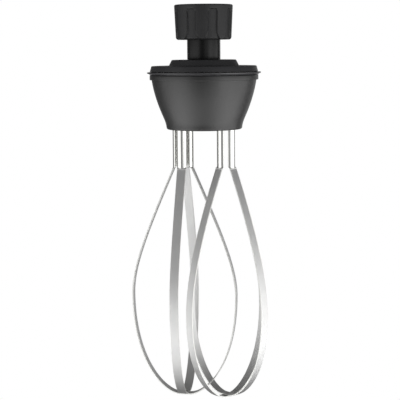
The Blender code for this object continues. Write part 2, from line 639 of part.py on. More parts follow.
def build_rim_gasket(material):
    """Sealing ring whose outer lip tapers to a thin edge."""
    inner = PLATE_RADIUS + 2 * SEAT_GAP
    root = COVER_SKIRT_RADIUS
    tip = root + GASKET_REACH
    waist = root + GASKET_WAIST * GASKET_REACH
    middle = GASKET_TOP_Z - GASKET_TIP_DROP
    profile = [
        (inner, GASKET_TOP_Z), (root, GASKET_TOP_Z), (waist, middle + GASKET_WAIST_RISE),
        (tip, middle + GASKET_TIP / 2), (tip, middle - GASKET_TIP / 2), (waist, middle - GASKET_WAIST_DROP),
        (root + GASKET_FOOT_STEP, GASKET_FOOT_Z), (inner, GASKET_FOOT_Z)]
    return finish_object("rim_gasket", turned(profile, LARGE_FACETS), material)


def hermite(start, end, start_slope, end_slope, steps):
    """Radius against height between two points, with the wall's slope at each end."""
    span = end[1] - start[1]
    first = math.tan(start_slope) * -span
    last = math.tan(end_slope) * -span
    points = []
    for step in range(steps + 1):
        t = step / steps
        radius = (start[0] * (2 * t ** 3 - 3 * t ** 2 + 1) + end[0] * (3 * t ** 2 - 2 * t ** 3)
                  - first * (t ** 3 - 2 * t ** 2 + t) - last * (t ** 3 - t ** 2))
        points.append((radius, start[1] + span * t))
    return points


def bowl_side(wall=0.0):
    """The bowl's flank from under the band to the foot, moved inwards by wall."""
    top = RIM_Z - BAND_HEIGHT - BAND_STEP / 2
    knee = BOWL_FOOT_Z + BOWL_KNEE_HEIGHT
    foot = BOWL_FOOT_Z + BOWL_FOOT_EDGE
    upper = hermite((BOWL_SHOULDER_RADIUS, top), (BOWL_KNEE_RADIUS, knee),
                    BOWL_SHOULDER_SLOPE, BOWL_KNEE_SLOPE, UPPER_FLANK_STEPS)
    lower = hermite((BOWL_KNEE_RADIUS, knee), (BOWL_FOOT_RADIUS, foot),
                    BOWL_KNEE_SLOPE, BOWL_FOOT_SLOPE, LOWER_FLANK_STEPS)
    return [(radius - wall, height) for radius, height in upper + lower[1:]]


def build_gearbox_bowl(material):
    foot_edge = arc((BOWL_FOOT_RADIUS - BOWL_FOOT_EDGE, BOWL_FOOT_Z + BOWL_FOOT_EDGE), BOWL_FOOT_EDGE,
                    -BOWL_FOOT_EDGE_START, -math.pi / 2, EDGE_STEPS)
    band_foot = RIM_Z - BAND_HEIGHT
    inner_rim = BAND_RADIUS - BAND_WALL
    inside = [point for point in bowl_side(BOWL_WALL)[::3] if point[1] > FLOOR_Z + BOWL_INNER_STEP]
    inside_foot = (bowl_side(BOWL_WALL)[-2][0], FLOOR_Z)
    profile = [(0.0, FLOOR_Z), inside_foot] + inside[::-1] + [
        (inner_rim, band_foot + BOWL_INNER_STEP), (inner_rim, RIM_Z), (BAND_RADIUS - BAND_EDGE, RIM_Z),
        (BAND_RADIUS, RIM_Z - BAND_EDGE), (BAND_RADIUS, band_foot + BAND_EDGE),
        (BAND_RADIUS - BAND_EDGE, band_foot)] + bowl_side() + foot_edge + [(0.0, BOWL_FOOT_Z)]
    bowl = finish_object("gearbox_bowl", turned(profile, LARGE_FACETS), material)
    bosses = bmesh.new()
    bores = bmesh.new()
    root_z = BOWL_FOOT_Z + BOSS_ROOT * BOWL_FLOOR
    below = BOWL_FOOT_Z - CUT_MARGIN
    for side in (-1, 1):
        place = (side * SPINDLE_X, 0.0)
        add_turned(bosses, rod_profile(SEAT_BOSS_RADIUS, root_z, BUSH_TOP_Z + SEAT_GAP), SEAT_FACETS, place)
        stepped = [(0.0, below), (HUB_BORE, below), (HUB_BORE, SEAT_FOOT_Z), (SEAT_RADIUS, SEAT_FOOT_Z),
                   (SEAT_RADIUS, BUSH_TOP_Z + CUT_MARGIN), (0.0, BUSH_TOP_Z + CUT_MARGIN)]
        add_turned(bores, stepped, SEAT_FACETS, place)
    head_bore = HOUSING_HEAD_RADIUS + SEAT_GAP
    head_top = BOWL_FOOT_Z + HOUSING_HEAD_SINK + HOUSING_HEAD_HEIGHT + SEAT_GAP
    screw_bore = HOUSING_SCREW_RADIUS + SEAT_GAP
    boss_top = PLATE_FOOT_Z - SEAT_GAP
    for place in HOUSING_SCREWS:
        add_turned(bosses, rod_profile(screw_bore + SCREW_BOSS_WALL, root_z, boss_top), SCREW_FACETS, place)
        stepped = [(0.0, below), (head_bore, below), (head_bore, head_top), (screw_bore, head_top),
                   (screw_bore, boss_top + CUT_MARGIN), (0.0, boss_top + CUT_MARGIN)]
        add_turned(bores, stepped, SCREW_FACETS, place)
    add_boolean(bowl, "spindle_and_screw_bosses", bosses, "UNION")
    add_boolean(bowl, "spindle_and_screw_bores", bores)
    return bowl


def build_bearing_plate(material):
    """Carrier for the spindles' upper bearings, screwed under the cover."""
    disc = turned(rod_profile(PLATE_RADIUS, PLATE_FOOT_Z, PLATE_TOP_Z), LARGE_FACETS)
    plate = finish_object("bearing_plate", disc, material)
    seats = bmesh.new()
    holes = bmesh.new()
    seat = SPINDLE_BEARING_RADIUS + SEAT_GAP
    for side in (-1, 1):
        place = (side * SPINDLE_X, 0.0)
        add_turned(seats, rod_profile(seat + PLATE_SEAT_WALL, PLATE_SEAT_FOOT_Z,
                                      PLATE_TOP_Z - PLATE_SEAT_SKIN / 2), SMALL_FACETS, place)
        add_turned(holes, rod_profile(seat, PLATE_SEAT_FOOT_Z - CUT_MARGIN, SPINDLE_BEARING_TOP_Z + SEAT_GAP),
                   SMALL_FACETS, place)
    below, above = PLATE_FOOT_Z - CUT_MARGIN, PLATE_TOP_Z + CUT_MARGIN
    add_turned(holes, rod_profile(SHAFT_SEAL_RADIUS + SEAT_GAP, below, above), SMALL_FACETS)
    for place in PLATE_SCREWS:
        add_turned(holes, rod_profile(PLATE_SCREW_RADIUS + SEAT_GAP, below, above), SCREW_FACETS, place)
    for place in HOUSING_SCREWS:
        add_turned(holes, rod_profile(HOUSING_SCREW_RADIUS + SEAT_GAP, below, above), SCREW_FACETS, place)
    add_boolean(plate, "bearing_seats", seats, "UNION")
    add_boolean(plate, "plate_holes", holes)
    return plate


def build_drive_coupling(material):
    profile = [
        (0.0, COUPLING_FOOT_Z), (COUPLING_RADIUS - COUPLING_EDGE, COUPLING_FOOT_Z),
        (COUPLING_RADIUS, COUPLING_FOOT_Z + COUPLING_EDGE), (COUPLING_RADIUS, COUPLING_TOP_Z - COUPLING_EDGE),
        (COUPLING_RADIUS - COUPLING_EDGE, COUPLING_TOP_Z), (0.0, COUPLING_TOP_Z)]
    coupling = finish_object("drive_coupling", turned(profile, SMALL_FACETS), material)
    socket_foot = COUPLING_TOP_Z - SOCKET_DEPTH
    bores = bmesh.new()
    across = SOCKET_FLATS / math.sqrt(3)
    add_prism(bores, circle_points(across, 6), socket_foot, COUPLING_TOP_Z + CUT_MARGIN)
    add_boolean(coupling, "hexagon_socket", bores)
    shaft_bore = turned(rod_profile(SHAFT_RADIUS + SEAT_GAP, COUPLING_FOOT_Z - CUT_MARGIN,
                                    socket_foot + SHAFT_BORE_OVERLAP), SMALL_FACETS)
    add_boolean(coupling, "shaft_bore", shaft_bore)
    add_boolean(coupling, "pin_hole", cross_rod(PIN_RADIUS + SEAT_GAP, 2 * COUPLING_RADIUS + CUT_MARGIN))
    return coupling


def cross_rod(radius, length):
    """A rod along X through the coupling and the shaft."""
    bm = turned(rod_profile(radius, -length / 2, length / 2), SCREW_FACETS)
    turn = Matrix.Translation((0, 0, PIN_Z)) @ Matrix.Rotation(math.pi / 2, 4, "Y")
    bmesh.ops.transform(bm, matrix=turn, verts=bm.verts)
    return bm


def build_coupling_pin(material):
    length = 2 * (COUPLING_RADIUS - COUPLING_EDGE)
    return finish_object("coupling_pin", cross_rod(PIN_RADIUS, length), material)


def build_pinion_shaft(material):
    """Stepped input shaft with the pinion cut on its lower end."""
    waist_top = UPPER_INPUT_FOOT_Z - SEAT_GAP
    waist_foot = LOWER_INPUT_TOP_Z + SEAT_GAP
    profile = [
        (0.0, DRIVE_FOOT_Z), (SHAFT_RADIUS, DRIVE_FOOT_Z), (SHAFT_RADIUS, waist_foot),
        (SHAFT_WAIST_RADIUS, waist_foot), (SHAFT_WAIST_RADIUS, waist_top), (SHAFT_RADIUS, waist_top),
        (SHAFT_RADIUS, SHAFT_TOP_Z), (0.0, SHAFT_TOP_Z)]
    shaft = finish_object("pinion_shaft", turned(profile, SMALL_FACETS), material)
    phase = math.pi + math.pi / PINION_TEETH
    teeth = add_prism(bmesh.new(), gear_outline(PINION_TEETH, DRIVE_MODULE, phase, (0.0, 0.0)),
                      DRIVE_FOOT_Z - PINION_PROUD, DRIVE_TOP_Z)
    add_boolean(shaft, "pinion_teeth", teeth, "UNION")
    add_boolean(shaft, "shaft_pin_hole", cross_rod(PIN_RADIUS + SEAT_GAP, 4 * SHAFT_RADIUS))
    return shaft


def build_bearing(name, inner, outer, foot, top, centre, material):
    """A shielded ball bearing as one ring, its two races parted by a shallow groove."""
    race = (outer - inner) / 4
    profile = [
        (inner, foot), (inner + race, foot), (inner + race, foot + BEARING_GROOVE),
        (outer - race, foot + BEARING_GROOVE), (outer - race, foot), (outer, foot), (outer, top),
        (outer - race, top), (outer - race, top - BEARING_GROOVE), (inner + race, top - BEARING_GROOVE),
        (inner + race, top), (inner, top)]
    return finish_object(name, turned(profile, SMALL_FACETS, centre), material)


def build_ring(name, inner, outer, foot, top, centre, material):
    return finish_object(name, turned(tube_profile(inner, outer, foot, top), SMALL_FACETS, centre), material)


def build_bearing_circlip(material):
    """Internal circlip that keeps the input shaft's upper bearing in the neck."""
    outer = SPIGOT_BORE + BEARING_CIRCLIP_GROOVE - SEAT_GAP
    outline = split_ring(outer - BEARING_CIRCLIP_WIDTH, outer, CIRCLIP_MOUTH, 0.0, SMALL_FACETS)
    bm = add_prism(bmesh.new(), outline, INPUT_CIRCLIP_FOOT_Z, INPUT_CIRCLIP_TOP_Z)
    return finish_object("bearing_circlip", bm, material)


def build_gear(name, teeth, module, phase, side, foot, top, material):
    centre = (side * SPINDLE_X, 0.0)
    bore = flatted_circle(SPINDLE_RADIUS + SEAT_GAP, SPINDLE_FLAT, SMALL_FACETS, centre)
    bm = add_prism(bmesh.new(), gear_outline(teeth, module, phase, centre), foot, top, hole=bore)
    return finish_object(name, bm, material)


def build_drive_gear(material):
    """The large gear on the left spindle, with a hub that spaces it from its neighbours."""
    gear = build_gear("drive_gear", DRIVE_TEETH, DRIVE_MODULE, 0.0, -1, DRIVE_FOOT_Z, DRIVE_TOP_Z, material)
    centre = (-SPINDLE_X, 0.0)
    bore = flatted_circle(SPINDLE_RADIUS + SEAT_GAP, SPINDLE_FLAT, SMALL_FACETS, centre)
    hub = circle_points(SPINDLE_RADIUS + SEAT_GAP + GEAR_HUB_WALL, SMALL_FACETS, centre, GEAR_HUB_PHASE)
    bm = add_prism(bmesh.new(), hub, GEAR_HUB_FOOT_Z, GEAR_HUB_TOP_Z, hole=bore)
    add_boolean(gear, "drive_gear_hub", bm, "UNION")
    return gear


def build_spindle(name, side, material):
    """Whisk spindle: journal, flatted middle for the gears, and the hub's tail."""
    centre = (side * SPINDLE_X, 0.0)
    groove = SPINDLE_RADIUS - GEAR_CIRCLIP_GROOVE
    top = SPINDLE_BEARING_TOP_Z - SEAT_GAP
    tail = HUB_FOOT_Z + SPINDLE_TAIL_EDGE
    profile = [
        (0.0, tail), (SPINDLE_TAIL_RADIUS - SPINDLE_TAIL_EDGE, tail),
        (SPINDLE_TAIL_RADIUS, tail + SPINDLE_TAIL_EDGE),
        (SPINDLE_TAIL_RADIUS, HUB_TOP_Z + SEAT_GAP), (SPINDLE_RADIUS, HUB_TOP_Z + SEAT_GAP),
        (SPINDLE_RADIUS, CIRCLIP_FOOT_Z - SEAT_GAP), (groove, CIRCLIP_FOOT_Z - SEAT_GAP),
        (groove, CIRCLIP_TOP_Z + SEAT_GAP), (SPINDLE_RADIUS, CIRCLIP_TOP_Z + SEAT_GAP),
        (SPINDLE_RADIUS, GEAR_HUB_TOP_Z), (JOURNAL_RADIUS, GEAR_HUB_TOP_Z), (JOURNAL_RADIUS, top), (0.0, top)]
    spindle = finish_object(name, turned(profile, SMALL_FACETS, centre), material)
    reach = SPINDLE_RADIUS + CUT_MARGIN
    level = SPINDLE_RADIUS - SPINDLE_FLAT
    corners = [(centre[0] - reach, level), (centre[0] + reach, level),
               (centre[0] + reach, reach), (centre[0] - reach, reach)]
    flat = add_prism(bmesh.new(), corners, CIRCLIP_TOP_Z, GEAR_HUB_TOP_Z + CUT_MARGIN)
    add_boolean(spindle, name + "_flat", flat)
    return spindle


def build_gear_circlip(name, side, material):
    inner = SPINDLE_RADIUS - GEAR_CIRCLIP_GROOVE + SEAT_GAP
    outline = split_ring(inner, inner + GEAR_CIRCLIP_WIDTH, CIRCLIP_MOUTH, -math.pi / 2, SMALL_FACETS)
    outline = [(x + side * SPINDLE_X, y) for x, y in outline]
    bm = add_prism(bmesh.new(), outline, CIRCLIP_FOOT_Z, CIRCLIP_TOP_Z)
    return finish_object(name, bm, material)


def strip_section(chord, sagitta, thickness):
    """Cross-section of a strip as (sideways, outwards) points about its crown's mid-thickness.

    The strip is bent to a circle's arc, open towards the whisk's axis; with no sagitta it is flat.
    """
    outer, inner = [], []
    for index in range(ACROSS):
        share = 2 * index / (ACROSS - 1) - 1
        if sagitta < 1e-7:
            outer.append((share * chord / 2, thickness / 2))
            inner.append((share * chord / 2, -thickness / 2))
            continue
        radius = (chord ** 2 / 4 + sagitta ** 2) / (2 * sagitta)
        angle = share * math.asin(min(1.0, chord / 2 / radius))
        outer.append((radius * math.sin(angle), thickness / 2 - radius * (1 - math.cos(angle))))
        inner.append(((radius - thickness) * math.sin(angle),
                      thickness / 2 - radius + (radius - thickness) * math.cos(angle)))
    return outer + inner[::-1]


def bezier(points, steps):
    """Points and directions along a cubic curve, without its first point."""
    a, b, c, d = [Vector(point) for point in points]
    found = []
    for step in range(1, steps + 1):
        t = step / steps
        place = a * (1 - t) ** 3 + b * 3 * t * (1 - t) ** 2 + c * 3 * t ** 2 * (1 - t) + d * t ** 3
        heading = (b - a) * 3 * (1 - t) ** 2 + (c - b) * 6 * t * (1 - t) + (d - c) * 3 * t ** 2
        found.append((place, heading.normalized()))
    return found


def strip_path(half_width, widest_drop, drop):
    """One half of a loop as (place, heading, curl): down the leg, round the kink, to the foot.

    Places are (radius, height) pairs; curl is 1 on the half-round leg and 0 on the flat strip.
    """
    down = Vector((0.0, -1.0))
    stations = [(Vector((LEG_RADIUS, LEG_TOP_Z)), down, 1.0)]
    for index in range(5):
        share = index / 4
        height = KINK_Z + LEG_RUNOUT * (1 - math.sin(share * math.pi / 2)) + KINK_LEAD
        stations.append((Vector((LEG_RADIUS, height)), down, max(0.0, math.cos(share * math.pi / 2))))
    for index in range(1, 4):
        angle = KINK_ANGLE * index / 3
        out = KINK_RADIUS * (1 - math.cos(angle))
        place = Vector((LEG_RADIUS + out, KINK_Z - KINK_RADIUS * math.sin(angle)))
        stations.append((place, Vector((math.sin(angle), -math.cos(angle))), 0.0))
    start = stations[-1][0]
    widest = Vector((half_width, KINK_Z - widest_drop))
    foot = Vector((FOOT_FLAT, KINK_Z - drop))
    run = start.y - widest.y
    fall = widest.y - foot.y
    first = start + Vector((math.tan(KINK_ANGLE), -1.0)) * UPPER_HANDLE * run
    second = widest + Vector((0.0, WIDEST_HANDLE_ABOVE * run))
    third = widest - Vector((0.0, WIDEST_HANDLE_BELOW * fall))
    fourth = Vector((FOOT_HANDLE * half_width, foot.y))
    for points in ((start, first, second, widest), (widest, third, fourth, foot)):
        stations += [(place, heading, 0.0) for place, heading in bezier(points, CURVE_STATIONS)]
    stations.append((Vector((0.0, foot.y)), Vector((-1.0, 0.0)), 0.0))
    return stations


def build_loop(name, side, angle, half_width, widest_drop, drop, material):
    """One springy strip: leg, balloon, foot and the other leg, in one upright plane."""
    half = strip_path(half_width, widest_drop, drop)
    other = [(Vector((-place.x, place.y)), Vector((heading.x, -heading.y)), curl)
             for place, heading, curl in half]
    stations = half + other[-2::-1]
    outward = Vector((math.cos(angle), math.sin(angle), 0.0))
    sideways = Vector((-math.sin(angle), math.cos(angle), 0.0))
    up = Vector((0.0, 0.0, 1.0))
    centre = Vector((side * SPINDLE_X, 0.0, 0.0))
    bm = bmesh.new()
    rings = []
    for place, heading, curl in stations:
        chord = STRIP_WIDTH + (LEG_CHORD - STRIP_WIDTH) * curl
        section = strip_section(chord, LEG_SAGITTA * curl, STRIP_THICKNESS)
        normal = outward * -heading.y + up * heading.x
        middle = centre + outward * place.x + up * place.y
        rings.append([bm.verts.new(middle + sideways * across + normal * out) for across, out in section])
    count = len(rings[0])
    for near, far in zip(rings, rings[1:]):
        for index in range(count):
            following = (index + 1) % count
            bm.faces.new((near[index], near[following], far[following], far[index]))
    for ring in (rings[0], rings[-1]):
        for index in range(ACROSS - 1):
            bm.faces.new((ring[index], ring[index + 1], ring[count - 2 - index], ring[count - 1 - index]))
    bm.normal_update()
    bmesh.ops.dissolve_limit(bm, angle_limit=math.radians(0.2), verts=bm.verts, edges=bm.edges)
    return finish_object(name, bm, material)


def build_hub(name, side, angle, material):
    """Disc that grips the four strip ends from below and sits on the spindle's tail."""
    centre = (side * SPINDLE_X, 0.0)
    bore = SPINDLE_TAIL_RADIUS + SEAT_GAP
    profile = [(bore, HUB_FOOT_Z), (HUB_RADIUS - HUB_EDGE, HUB_FOOT_Z), (HUB_RADIUS, HUB_FOOT_Z + HUB_EDGE),
               (HUB_RADIUS, HUB_TOP_Z), (bore, HUB_TOP_Z)]
    hub = finish_object(name, turned(profile, SEAT_FACETS, centre), material)
    section = strip_section(LEG_CHORD + 2 * SEAT_GAP, LEG_SAGITTA + SEAT_GAP, STRIP_THICKNESS + 2 * SEAT_GAP)
    pockets = bmesh.new()
    for index in range(4):
        turn = angle + index * math.pi / 2
        outline = []
        for across, out in section:
            radius = LEG_RADIUS + out
            outline.append((centre[0] + radius * math.cos(turn) - across * math.sin(turn),
                            centre[1] + radius * math.sin(turn) + across * math.cos(turn)))
        add_prism(pockets, outline, HUB_FOOT_Z - CUT_MARGIN, POCKET_TOP_Z)
    add_boolean(hub, name + "_pockets", pockets)
    return hub


def build_screw(name, place, head_radius, head_foot, head_top, shank_radius, end, material):
    """A pan-head screw that points up: head below, shank above."""
    tip = SCREW_TIP * shank_radius
    profile = [
        (0.0, head_foot), (head_radius - SCREW_EDGE, head_foot), (head_radius, head_foot + SCREW_EDGE),
        (head_radius, head_top),
        (shank_radius, head_top), (shank_radius, end - tip), (shank_radius - tip, end), (0.0, end)]
    return finish_object(name, turned(profile, SCREW_FACETS, place), material)


def build_head():
    collar_plastic = make_material("collar_plastic", (0.045, 0.045, 0.05), 0.48)
    neck_plastic = make_material("neck_plastic", (0.02, 0.02, 0.023), 0.28)
    cover_plastic = make_material("cover_plastic", (0.035, 0.035, 0.04), 0.45)
    bowl_plastic = make_material("bowl_plastic", (0.045, 0.045, 0.05), 0.42)
    gasket_rubber = make_material("gasket_rubber", (0.025, 0.025, 0.028), 0.6)
    spring_steel = make_material("spring_steel", (0.35, 0.36, 0.38), 0.4, 1.0)
    plate_plastic = make_material("plate_plastic", (0.55, 0.56, 0.55), 0.5)
    build_locking_collar(collar_plastic)
    build_snap_ring(spring_steel)
    build_neck_tube(neck_plastic)
    build_neck_nut(spring_steel)
    build_upper_cover(cover_plastic)
    build_rim_gasket(gasket_rubber)
    build_gearbox_bowl(bowl_plastic)
    build_bearing_plate(plate_plastic)
    build_bearing_circlip(spring_steel)


def build_input():
    steel = make_material("shaft_steel", (0.5, 0.5, 0.52), 0.32, 1.0)
    bearing_steel = make_material("bearing_steel", (0.6, 0.6, 0.62), 0.25, 1.0)
    seal_rubber = make_material("seal_rubber", (0.03, 0.03, 0.03), 0.6)
    coupling_metal = make_material("coupling_metal", (0.42, 0.42, 0.44), 0.4, 1.0)
    build_drive_coupling(coupling_metal)
    build_coupling_pin(steel)
    build_pinion_shaft(steel)
    bore = SHAFT_RADIUS + RUN_GAP
    axis = (0.0, 0.0)
    build_bearing("input_upper_bearing", bore, INPUT_BEARING_RADIUS,
                  UPPER_INPUT_FOOT_Z, UPPER_INPUT_TOP_Z, axis, bearing_steel)
    build_bearing("input_lower_bearing", bore, INPUT_BEARING_RADIUS,
                  LOWER_INPUT_FOOT_Z, LOWER_INPUT_TOP_Z, axis, bearing_steel)
    build_ring("shaft_seal", bore, SHAFT_SEAL_RADIUS, PLATE_FOOT_Z, PLATE_TOP_Z, axis, seal_rubber)


def build_gears():
    nylon = make_material("gear_nylon", (0.72, 0.7, 0.62), 0.45)
    sintered_steel = make_material("gear_steel", (0.4, 0.4, 0.41), 0.45, 1.0)
    build_drive_gear(nylon)
    build_gear("left_sync_gear", SYNC_TEETH, SYNC_MODULE, 0.0, -1, SYNC_FOOT_Z, SYNC_TOP_Z, sintered_steel)
    facing = math.pi + math.pi / SYNC_TEETH
    build_gear("right_sync_gear", SYNC_TEETH, SYNC_MODULE, facing, 1, SYNC_FOOT_Z, SYNC_TOP_Z, sintered_steel)
    sleeve = SPINDLE_RADIUS + SEAT_GAP
    build_ring("right_spacer", sleeve, sleeve + GEAR_HUB_WALL, GEAR_HUB_FOOT_Z, GEAR_HUB_TOP_Z,
               (SPINDLE_X, 0.0), sintered_steel)


def build_spindle_set(hand, side, angle):
    """The pieces that carry one whisk: spindle, circlip, hub, bearing, bush and seal."""
    steel = make_material(hand + "_spindle_steel", (0.5, 0.5, 0.52), 0.3, 1.0)
    spring_steel = make_material(hand + "_circlip_steel", (0.35, 0.36, 0.38), 0.4, 1.0)
    hub_steel = make_material(hand + "_hub_steel", (0.45, 0.45, 0.46), 0.35, 1.0)
    bearing_steel = make_material(hand + "_bearing_steel", (0.6, 0.6, 0.62), 0.25, 1.0)
    bronze = make_material(hand + "_bush_bronze", (0.45, 0.3, 0.15), 0.4, 1.0)
    seal_rubber = make_material(hand + "_seal_rubber", (0.03, 0.03, 0.03), 0.6)
    centre = (side * SPINDLE_X, 0.0)
    build_spindle(hand + "_spindle", side, steel)
    build_gear_circlip(hand + "_gear_circlip", side, spring_steel)
    build_hub(hand + "_hub", side, angle, hub_steel)
    build_bearing(hand + "_upper_bearing", JOURNAL_RADIUS + RUN_GAP, SPINDLE_BEARING_RADIUS,
                  SPINDLE_BEARING_FOOT_Z, SPINDLE_BEARING_TOP_Z, centre, bearing_steel)
    running = SPINDLE_RADIUS + RUN_GAP
    build_ring(hand + "_lower_bush", running, BUSH_RADIUS, BUSH_FOOT_Z, BUSH_TOP_Z, centre, bronze)
    build_ring(hand + "_spindle_seal", running, BUSH_RADIUS, SEAL_FOOT_Z, SEAL_TOP_Z, centre, seal_rubber)


def build_whisks():
    strip_steel = make_material("strip_steel", (0.62, 0.62, 0.6), 0.3, 1.0)
    quarter = math.pi / 2
    nest = STRIP_THICKNESS + SEAT_GAP
    build_loop("left_outer_loop", -1, LEFT_ANGLE, LEFT_HALF_WIDTH, LEFT_WIDEST_DROP, LEFT_DROP, strip_steel)
    build_loop("left_inner_loop", -1, LEFT_ANGLE + quarter, LEFT_HALF_WIDTH, LEFT_WIDEST_DROP,
               LEFT_DROP - nest, strip_steel)
    build_loop("right_outer_loop", 1, RIGHT_ANGLE, RIGHT_HALF_WIDTH, RIGHT_WIDEST_DROP,
               RIGHT_DROP, strip_steel)
    build_loop("right_inner_loop", 1, RIGHT_ANGLE - quarter, RIGHT_HALF_WIDTH, RIGHT_WIDEST_DROP,
               RIGHT_DROP - nest, strip_steel)


def build_screws():
    screw_steel = make_material("screw_steel", (0.45, 0.45, 0.47), 0.35, 1.0)
    head_foot = BOWL_FOOT_Z + HOUSING_HEAD_SINK
    head_top = head_foot + HOUSING_HEAD_HEIGHT
    end = PLATE_TOP_Z - SCREW_END_GAP
    for name, place in zip(("front", "back"), HOUSING_SCREWS):
        build_screw("housing_screw_" + name, place, HOUSING_HEAD_RADIUS, head_foot, head_top,
                    HOUSING_SCREW_RADIUS, end, screw_steel)
    head_top = PLATE_FOOT_Z - SEAT_GAP
    for index, place in enumerate(PLATE_SCREWS, start=1):
        build_screw(f"plate_screw_{index}", place, PLATE_HEAD_RADIUS, head_top - PLATE_HEAD_HEIGHT, head_top,
                    PLATE_SCREW_RADIUS, BOSS_ROOF_Z - SEAT_GAP, screw_steel)


def build_part():
    clear_scene()
    build_head()
    build_input()
    build_gears()
    build_spindle_set("left", -1, LEFT_ANGLE)
    build_spindle_set("right", 1, RIGHT_ANGLE)
    build_whisks()
    build_screws()


build_part()
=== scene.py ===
# Double whisk attachment of a hand-held blender: its looks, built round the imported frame.
# Lengths are in metres; mm turns the sizes in the dictionaries into metres.
import json
import math

import bmesh
import bpy
import numpy as np
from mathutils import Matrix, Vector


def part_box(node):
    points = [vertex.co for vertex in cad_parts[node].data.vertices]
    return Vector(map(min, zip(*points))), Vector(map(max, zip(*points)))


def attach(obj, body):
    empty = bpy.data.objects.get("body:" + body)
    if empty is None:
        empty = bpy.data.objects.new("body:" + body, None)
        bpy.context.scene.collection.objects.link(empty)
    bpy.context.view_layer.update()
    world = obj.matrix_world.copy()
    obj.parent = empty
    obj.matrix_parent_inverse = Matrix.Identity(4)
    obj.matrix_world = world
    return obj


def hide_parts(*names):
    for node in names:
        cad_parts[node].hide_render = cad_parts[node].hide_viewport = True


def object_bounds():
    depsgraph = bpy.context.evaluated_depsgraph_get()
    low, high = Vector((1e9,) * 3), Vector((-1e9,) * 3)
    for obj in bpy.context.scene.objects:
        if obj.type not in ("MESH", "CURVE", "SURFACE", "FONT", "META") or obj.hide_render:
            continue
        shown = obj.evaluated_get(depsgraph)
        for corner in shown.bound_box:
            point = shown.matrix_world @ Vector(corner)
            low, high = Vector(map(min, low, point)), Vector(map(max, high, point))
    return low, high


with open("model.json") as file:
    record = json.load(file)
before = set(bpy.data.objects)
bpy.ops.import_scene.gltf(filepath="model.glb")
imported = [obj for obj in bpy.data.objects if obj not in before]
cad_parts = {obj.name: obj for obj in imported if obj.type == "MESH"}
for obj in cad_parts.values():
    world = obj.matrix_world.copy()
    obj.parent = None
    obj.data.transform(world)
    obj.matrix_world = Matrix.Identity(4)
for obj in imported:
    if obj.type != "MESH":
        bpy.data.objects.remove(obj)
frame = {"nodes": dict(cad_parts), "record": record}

cadBounds = [list(corner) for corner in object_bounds()]
mm = 0.001
whiskAxis = (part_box("right_hub")[0].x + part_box("right_hub")[1].x) / 2  # each whisk's distance off centre
kinkHeight = -151.3 * mm  # where the strips' legs end and the balloons begin
print("frame loaded:", len(frame["nodes"]), "nodes")


# Grid of points (rows, columns, 3) to quads: cell (i, j) joins points (i, j), (i, j+1), (i+1, j+1) and
# (i+1, j). The last column joins the first, and so does the last row if rows wrap. uv, if given, has one
# more column than points.
def gridMesh(name, points, wrapRows=False, uv=None):
    rows, columns = points.shape[:2]
    row = np.arange(rows if wrapRows else rows - 1)[:, None]
    column = np.arange(columns)[None, :]
    steps = [(0, 0), (0, 1), (1, 1), (1, 0)]
    corners = [((row + down) % rows) * columns + (column + along) % columns for down, along in steps]
    quads = np.stack(np.broadcast_arrays(*corners), axis=-1).reshape(-1, 4)
    mesh = bpy.data.meshes.new(name)
    mesh.from_pydata(points.reshape(-1, 3).tolist(), [], quads.tolist())
    if uv is not None:
        loose = [((row + down) * (columns + 1)) + column + along for down, along in steps]
        order = np.stack(np.broadcast_arrays(*loose), axis=-1).reshape(-1)
        layer = mesh.uv_layers.new(name="along")
        layer.data.foreach_set("uv", uv.reshape(-1, 2)[order].astype(np.float32).ravel())
    return mesh


# Poles and seams merged, faces pointing out, edges sharper than sharpAngle kept crisp
def cleanMesh(mesh, sharpAngle=38, merge=1e-6):
    bm = bmesh.new()
    bm.from_mesh(mesh)
    bmesh.ops.remove_doubles(bm, verts=bm.verts, dist=merge)
    bmesh.ops.recalc_face_normals(bm, faces=bm.faces)
    bm.to_mesh(mesh)
    bm.free()
    mesh.shade_smooth()
    mesh.set_sharp_from_angle(angle=math.radians(sharpAngle))
    return mesh


# A mesh becomes a piece: it takes its slot's finish, rides its body and stands in for its nodes
def addPiece(name, mesh, body, slot, nodes):
    piece = bpy.data.objects.new(name, mesh)
    bpy.context.scene.collection.objects.link(piece)
    mesh.materials.clear()
    mesh.materials.append(paints[slotPaints[slot]])
    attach(piece, body)
    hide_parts(*nodes)


# Outline corners (radius, height, fillet): each fillet is an arc tangent to both sides, its centre on the
# bisector at fillet / sin(half the corner), its ends at fillet / tan(half the corner) from the corner
def filletOutline(corners, arcSteps=5, closed=True):
    places = np.array([corner[:2] for corner in corners], float)
    outline = []
    for index, (place, fillet) in enumerate(zip(places, [corner[2] for corner in corners])):
        isEnd = not closed and index in (0, len(corners) - 1)
        if fillet <= 0 or isEnd:
            outline.append(place[None, :])
            continue
        back = places[index - 1] - place
        ahead = places[(index + 1) % len(places)] - place
        back, ahead = back / np.linalg.norm(back), ahead / np.linalg.norm(ahead)
        half = math.acos(np.clip(back @ ahead, -1, 1)) / 2
        bisector = (back + ahead) / np.linalg.norm(back + ahead)
        centre = place + bisector * fillet / math.sin(half)
        first = place + back * fillet / math.tan(half) - centre
        last = place + ahead * fillet / math.tan(half) - centre
        start = math.atan2(first[1], first[0])
        sweep = (math.atan2(last[1], last[0]) - start + math.pi) % (2 * math.pi) - math.pi
        angle = start + sweep * np.linspace(0, 1, arcSteps + 1)
        outline.append(centre + fillet * np.stack([np.cos(angle), np.sin(angle)], axis=-1))
    return np.concatenate(outline)


